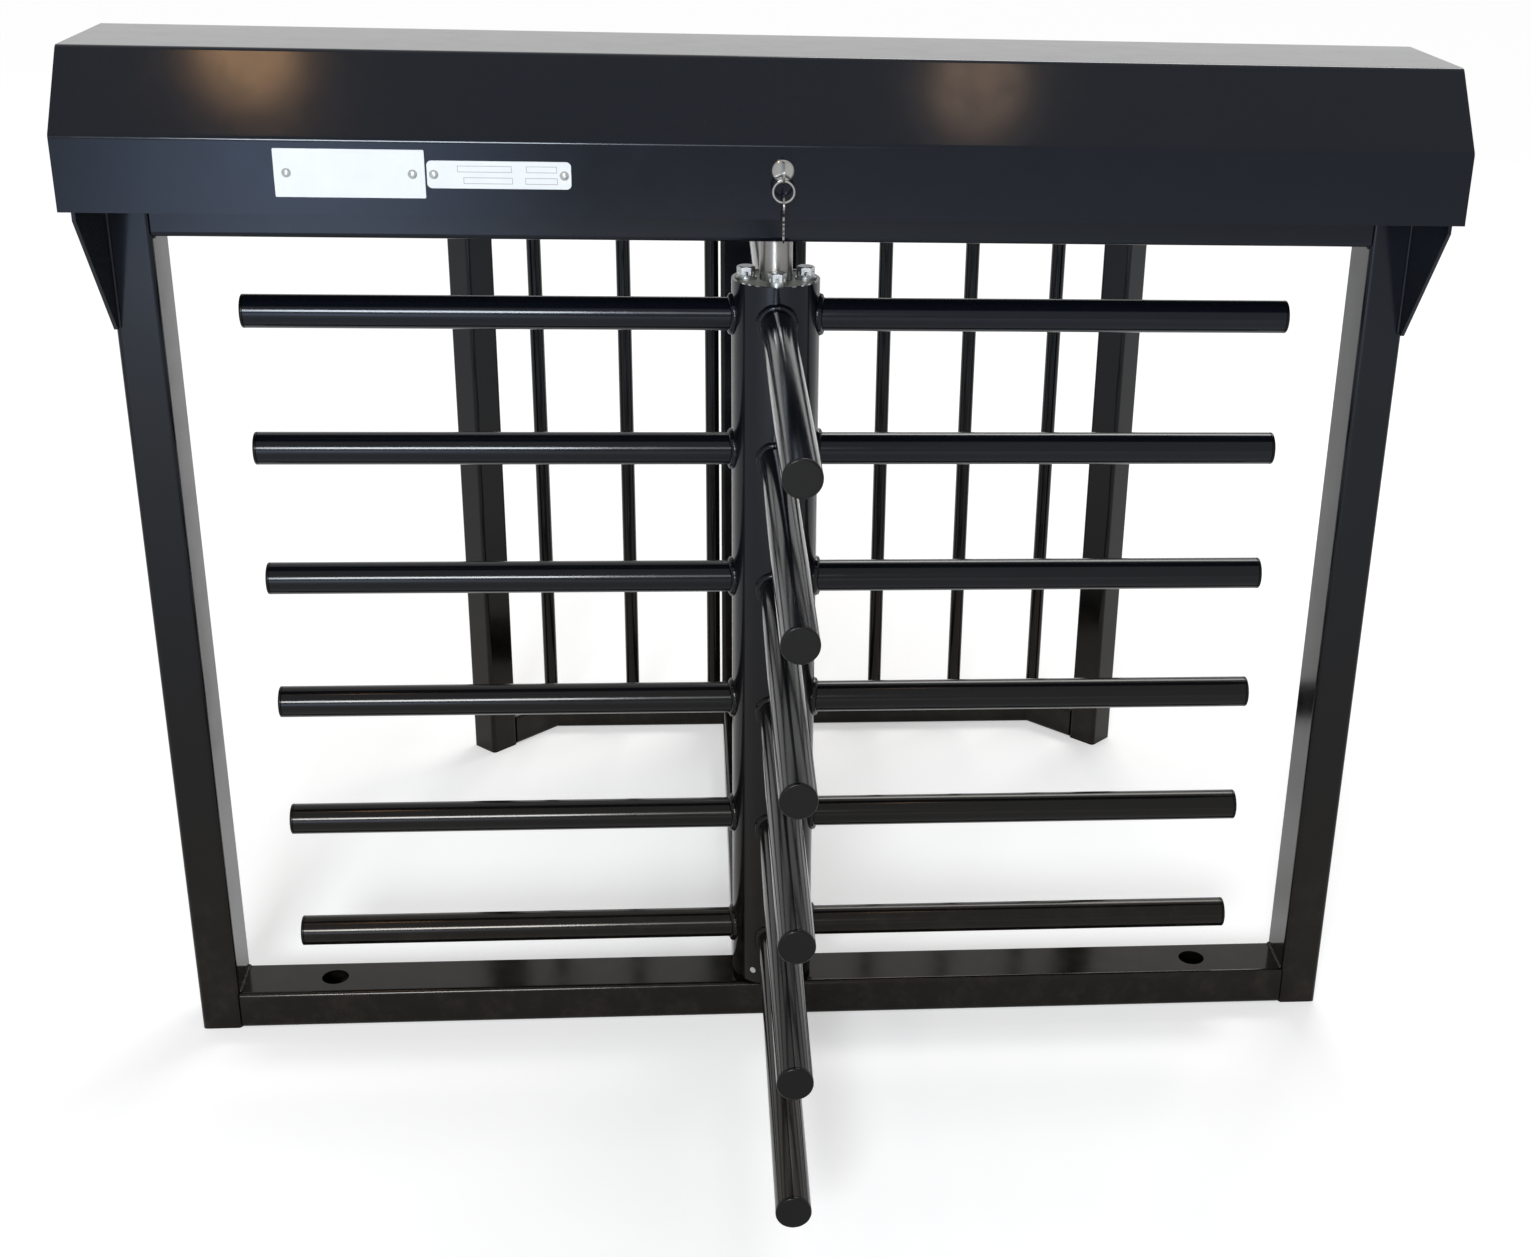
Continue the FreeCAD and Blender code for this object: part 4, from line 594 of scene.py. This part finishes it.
def arm_caps():
    """The moulded caps at the ends of all the arms, with rounded rims."""
    radius, heights = arm_rows()
    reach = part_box("arm_caps")[1].x
    vertices = []
    faces = []
    for wing in range(WINGS):
        outward = wing_turn(wing) @ Vector((1, 0, 0))
        for height in heights:
            place = outward * reach + Vector((0, 0, height))
            cap(place, outward, cap_rings(radius), vertices, faces)
    caps = mesh_piece("moulded_caps", vertices, faces, "rotor", "cap")
    caps.data.set_sharp_from_angle(angle=CAP_SHARP)
    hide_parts("arm_caps")


# Small fasteners and plate fields

def hexagon_reach(half_flats, angle):
    """Distance from the middle of a hexagon to its side at an angle."""
    return half_flats / math.cos((angle % (math.pi / 3)) - math.pi / 6)


def button_head(place, outward, vertices, faces):
    """Adds a button head with a hexagon socket to a mesh in the making."""
    side = outward.orthogonal().normalized()
    other = outward.cross(side)
    first = len(vertices)
    for radius, rise, is_socket in SCREW_PROFILE:
        for angle in round_angles(SCREW_SIDES):
            reach = hexagon_reach(radius, angle) if is_socket else radius
            spoke = side * math.cos(angle) + other * math.sin(angle)
            vertices.append(place + spoke * reach * SCREW_HEAD + outward * rise * SCREW_HEAD)
    join_rings(first, len(SCREW_PROFILE), SCREW_SIDES, faces)


def hinge_screws():
    """Three screws in each leaf of the two hood hinges."""
    for node, body, level in (("hinge_fixed_leaves", "frame", 0), ("hinge_moving_leaves", "hood", 1)):
        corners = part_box(node)
        half = max(corners[1].x, -corners[0].x) - HINGE_LENGTH / 2
        z = corners[level].z + (SCREW_EDGE if level == 0 else -SCREW_EDGE)
        vertices = []
        faces = []
        for middle in (-half, half):
            for step in (-1, 0, 1):
                place = Vector((middle + step * SCREW_PITCH, LEAF_FACE, z))
                button_head(place, Vector((0, 1, 0)), vertices, faces)
        screws = mesh_piece(node.replace("leaves", "screws"), vertices, faces, body, "zinc_plate")
        screws.data.set_sharp_from_angle(angle=FASTENER_SHARP)


def bolt_section(angle):
    """Radius and rise of each ring of a bolt head at an angle: spring washer, hexagon, chamfered crown."""
    crown = BOLT_FLATS / 2 * BOLT_CROWN
    top = BOLT_WASHER + BOLT_HEAD
    reach = hexagon_reach(BOLT_FLATS / 2, angle)
    shoulder = top - (reach - crown) * math.tan(math.radians(BOLT_CROWN_SLOPE))
    return (
        (BOLT_WASHER_RADIUS, 0.0),
        (BOLT_WASHER_RADIUS, BOLT_WASHER),
        (crown, BOLT_WASHER),
        (reach, BOLT_WASHER + BOLT_STEP),
        (reach, shoulder),
        (crown, top),
    )


def crowned_hexagon(place, vertices, faces):
    """Adds a tall hexagon head on a spring washer to a mesh in the making."""
    first = len(vertices)
    angles = round_angles(BOLT_SIDES)
    sections = [bolt_section(angle) for angle in angles]
    rows = len(sections[0])
    for row in range(rows):
        for angle, section in zip(angles, sections):
            radius, rise = section[row]
            spoke = Vector((math.cos(angle), math.sin(angle), 0))
            vertices.append(place + spoke * radius + Vector((0, 0, rise)))
    join_rings(first, rows, BOLT_SIDES, faces)


def flange_bolt_heads():
    """Tall heads on spring washers over the four flange bolts, as the photograph shows them."""
    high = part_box("flange_washers")[1]
    radius = high.x - FLANGE_WASHER_RADIUS
    vertices = []
    faces = []
    for angle in round_angles(BOLTS):
        place = Vector((radius * math.cos(angle), radius * math.sin(angle), high.z))
        crowned_hexagon(place, vertices, faces)
    heads = mesh_piece("flange_bolt_heads", vertices, faces, "rotor", "zinc_plate")
    heads.data.set_sharp_from_angle(angle=BOLT_SHARP)


def field_frame(left, right, middle, face, vertices, faces):
    """Adds the thin outline of one empty field on the small plate."""
    first = len(vertices)
    for y in (face, face - FIELD_RISE):
        for edge in (0.0, FIELD_LINE):
            low = middle - FIELD_HEIGHT / 2 + edge
            high = middle + FIELD_HEIGHT / 2 - edge
            corners = [(left + edge, low), (right - edge, low), (right - edge, high), (left + edge, high)]
            vertices += [Vector((x, y, z)) for x, z in corners]
    back_outer, back_inner, front_outer, front_inner = (first + 4 * ring for ring in range(4))
    for i in range(4):
        k = (i + 1) % 4
        faces.append((front_outer + i, front_outer + k, front_inner + k, front_inner + i))
        faces.append((back_outer + i, back_outer + k, front_outer + k, front_outer + i))
        faces.append((back_inner + i, front_inner + i, front_inner + k, back_inner + k))
        faces.append((back_outer + i, back_inner + i, back_inner + k, back_outer + k))


def plate_fields():
    """Two rows of empty fields on the small plate."""
    low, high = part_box("name_plates")
    left = high.x - SMALL_PLATE_WIDTH
    middle = (low.z + high.z) / 2
    vertices = []
    faces = []
    for row, fields in enumerate(FIELD_ROWS):
        for start, end in fields:
            z = middle + (row - 0.5) * FIELD_PITCH
            field_frame(left + start, left + end, z, low.y, vertices, faces)
    piece = mesh_piece("plate_fields", vertices, faces, "hood", "bare_plate")
    ink = painted("field_ink", (0.22, 0.22, 0.23), (0.32, 0.32, 0.33), 0.4, 0.55, 900.0, 0.000005)
    piece.data.materials[0] = ink
    piece.data.set_sharp_from_angle(angle=FASTENER_SHARP)


# Stage

def seen_or_mirrored(tree):
    """1 for what the camera sees, directly or in a reflection, and 0 for light on the object."""
    path = tree.nodes.new("ShaderNodeLightPath")
    seen = path.outputs["Is Camera Ray"]
    for kind in ("Is Glossy Ray", "Is Transmission Ray"):
        either = tree.nodes.new("ShaderNodeMath")
        either.operation = "MAXIMUM"
        tree.links.new(seen, either.inputs[0])
        tree.links.new(path.outputs[kind], either.inputs[1])
        seen = either.outputs["Value"]
    return seen


def floor():
    """Plain pale floor, nearly white where it is seen, that still takes the object's shadow."""
    mesh = bpy.data.meshes.new("floor")
    corners = [(-1, -1), (1, -1), (1, 1), (-1, 1)]
    mesh.from_pydata([(x * FLOOR_HALF, y * FLOOR_HALF, 0) for x, y in corners], [], [(0, 1, 2, 3)])
    material, tree, shader = new_material("floor")
    shader.inputs["Base Color"].default_value = (0.80, 0.80, 0.80, 1.0)
    shader.inputs["Roughness"].default_value = 0.9
    shader.inputs["Specular IOR Level"].default_value = 0.0
    shader.inputs["Emission Color"].default_value = (1.0, 1.0, 1.0, 1.0)
    reach = tree.nodes.new("ShaderNodeVectorMath")
    reach.operation = "LENGTH"
    tree.links.new(object_place(tree), reach.inputs[0])
    pale = span(tree, reach.outputs["Value"], FLOOR_NEAR, FLOOR_FAR, FLOOR_NEAR_LIGHT, FLOOR_FAR_LIGHT)
    tree.links.new(times(tree, pale, seen_or_mirrored(tree)), shader.inputs["Emission Strength"])
    mesh.materials.append(material)
    plane = bpy.data.objects.new("floor", mesh)
    bpy.context.scene.collection.objects.link(plane)


def sky():
    """Soft room light, dim in front and brighter above and behind; a white backdrop where it is seen."""
    world = bpy.data.worlds.new("room")
    bpy.context.scene.world = world
    world.use_nodes = True
    tree = world.node_tree
    tree.nodes.clear()
    parts = tree.nodes.new("ShaderNodeSeparateXYZ")
    tree.links.new(tree.nodes.new("ShaderNodeTexCoord").outputs["Generated"], parts.inputs["Vector"])
    lean = tree.nodes.new("ShaderNodeMath")
    lean.operation = "MULTIPLY_ADD"
    lean.inputs[1].default_value = ROOM_RISE
    tree.links.new(parts.outputs["Z"], lean.inputs[0])
    tree.links.new(parts.outputs["Y"], lean.inputs[2])
    room = span(tree, lean.outputs["Value"], ROOM_FRONT_LEAN, ROOM_BACK_LEAN, ROOM_FRONT, ROOM_BACK)
    strength = tree.nodes.new("ShaderNodeMath")
    strength.operation = "MAXIMUM"
    tree.links.new(room, strength.inputs[0])
    tree.links.new(seen_or_mirrored(tree), strength.inputs[1])
    background = tree.nodes.new("ShaderNodeBackground")
    background.inputs["Color"].default_value = (1.0, 1.0, 1.0, 1.0)
    tree.links.new(strength.outputs["Value"], background.inputs["Strength"])
    output = tree.nodes.new("ShaderNodeOutputWorld")
    tree.links.new(background.outputs["Background"], output.inputs["Surface"])


def lamp(name, place, aim, width, height, power, colour):
    """Soft box turned to a point: a rectangle, or a disc where no height is given."""
    light = bpy.data.lights.new(name, "AREA")
    light.shape = "RECTANGLE" if height else "DISK"
    light.size = width
    if height:
        light.size_y = height
    light.energy = power
    light.color = colour
    box = bpy.data.objects.new(name, light)
    bpy.context.scene.collection.objects.link(box)
    box.location = place
    box.rotation_euler = (Vector(aim) - Vector(place)).to_track_quat("-Z", "Y").to_euler()


def studio():
    """Two warm ceiling lamps, a half curtained window and a doorway behind the camera, a soft box behind."""
    for values in LAMPS:
        lamp(*values)
    for size, power in DOORWAY_DISCS:
        lamp("doorway", DOORWAY_PLACE, DOORWAY_AIM, size, None, power, DOORWAY_COLOUR)


def camera():
    """Camera fitted to the photograph."""
    data = bpy.data.cameras.new("camera")
    data.sensor_fit = "HORIZONTAL"
    data.sensor_width = SENSOR
    data.lens = FOCAL_PIXELS * SENSOR / PHOTO_WIDTH
    data.shift_x = (PHOTO_WIDTH / 2 - CENTRE_X) / PHOTO_WIDTH
    data.shift_y = (CENTRE_Y - PHOTO_HEIGHT / 2) / PHOTO_WIDTH
    data.clip_end = 200.0
    view = bpy.data.objects.new("camera", data)
    bpy.context.scene.collection.objects.link(view)
    turn = Matrix.Rotation(math.radians(-CAMERA_YAW), 4, "Z")
    tilt = Matrix.Rotation(math.radians(90 - CAMERA_PITCH), 4, "X")
    roll = Matrix.Rotation(math.radians(CAMERA_ROLL), 4, "Z")
    view.matrix_world = Matrix.Translation(CAMERA_PLACE) @ turn @ tilt @ roll
    bpy.context.scene.camera = view


dress_cad_nodes()
weld_beads()
arm_caps()
hinge_screws()
flange_bolt_heads()
plate_fields()
floor()
sky()
studio()
camera()
bpy.context.scene.view_settings.view_transform = "Standard"
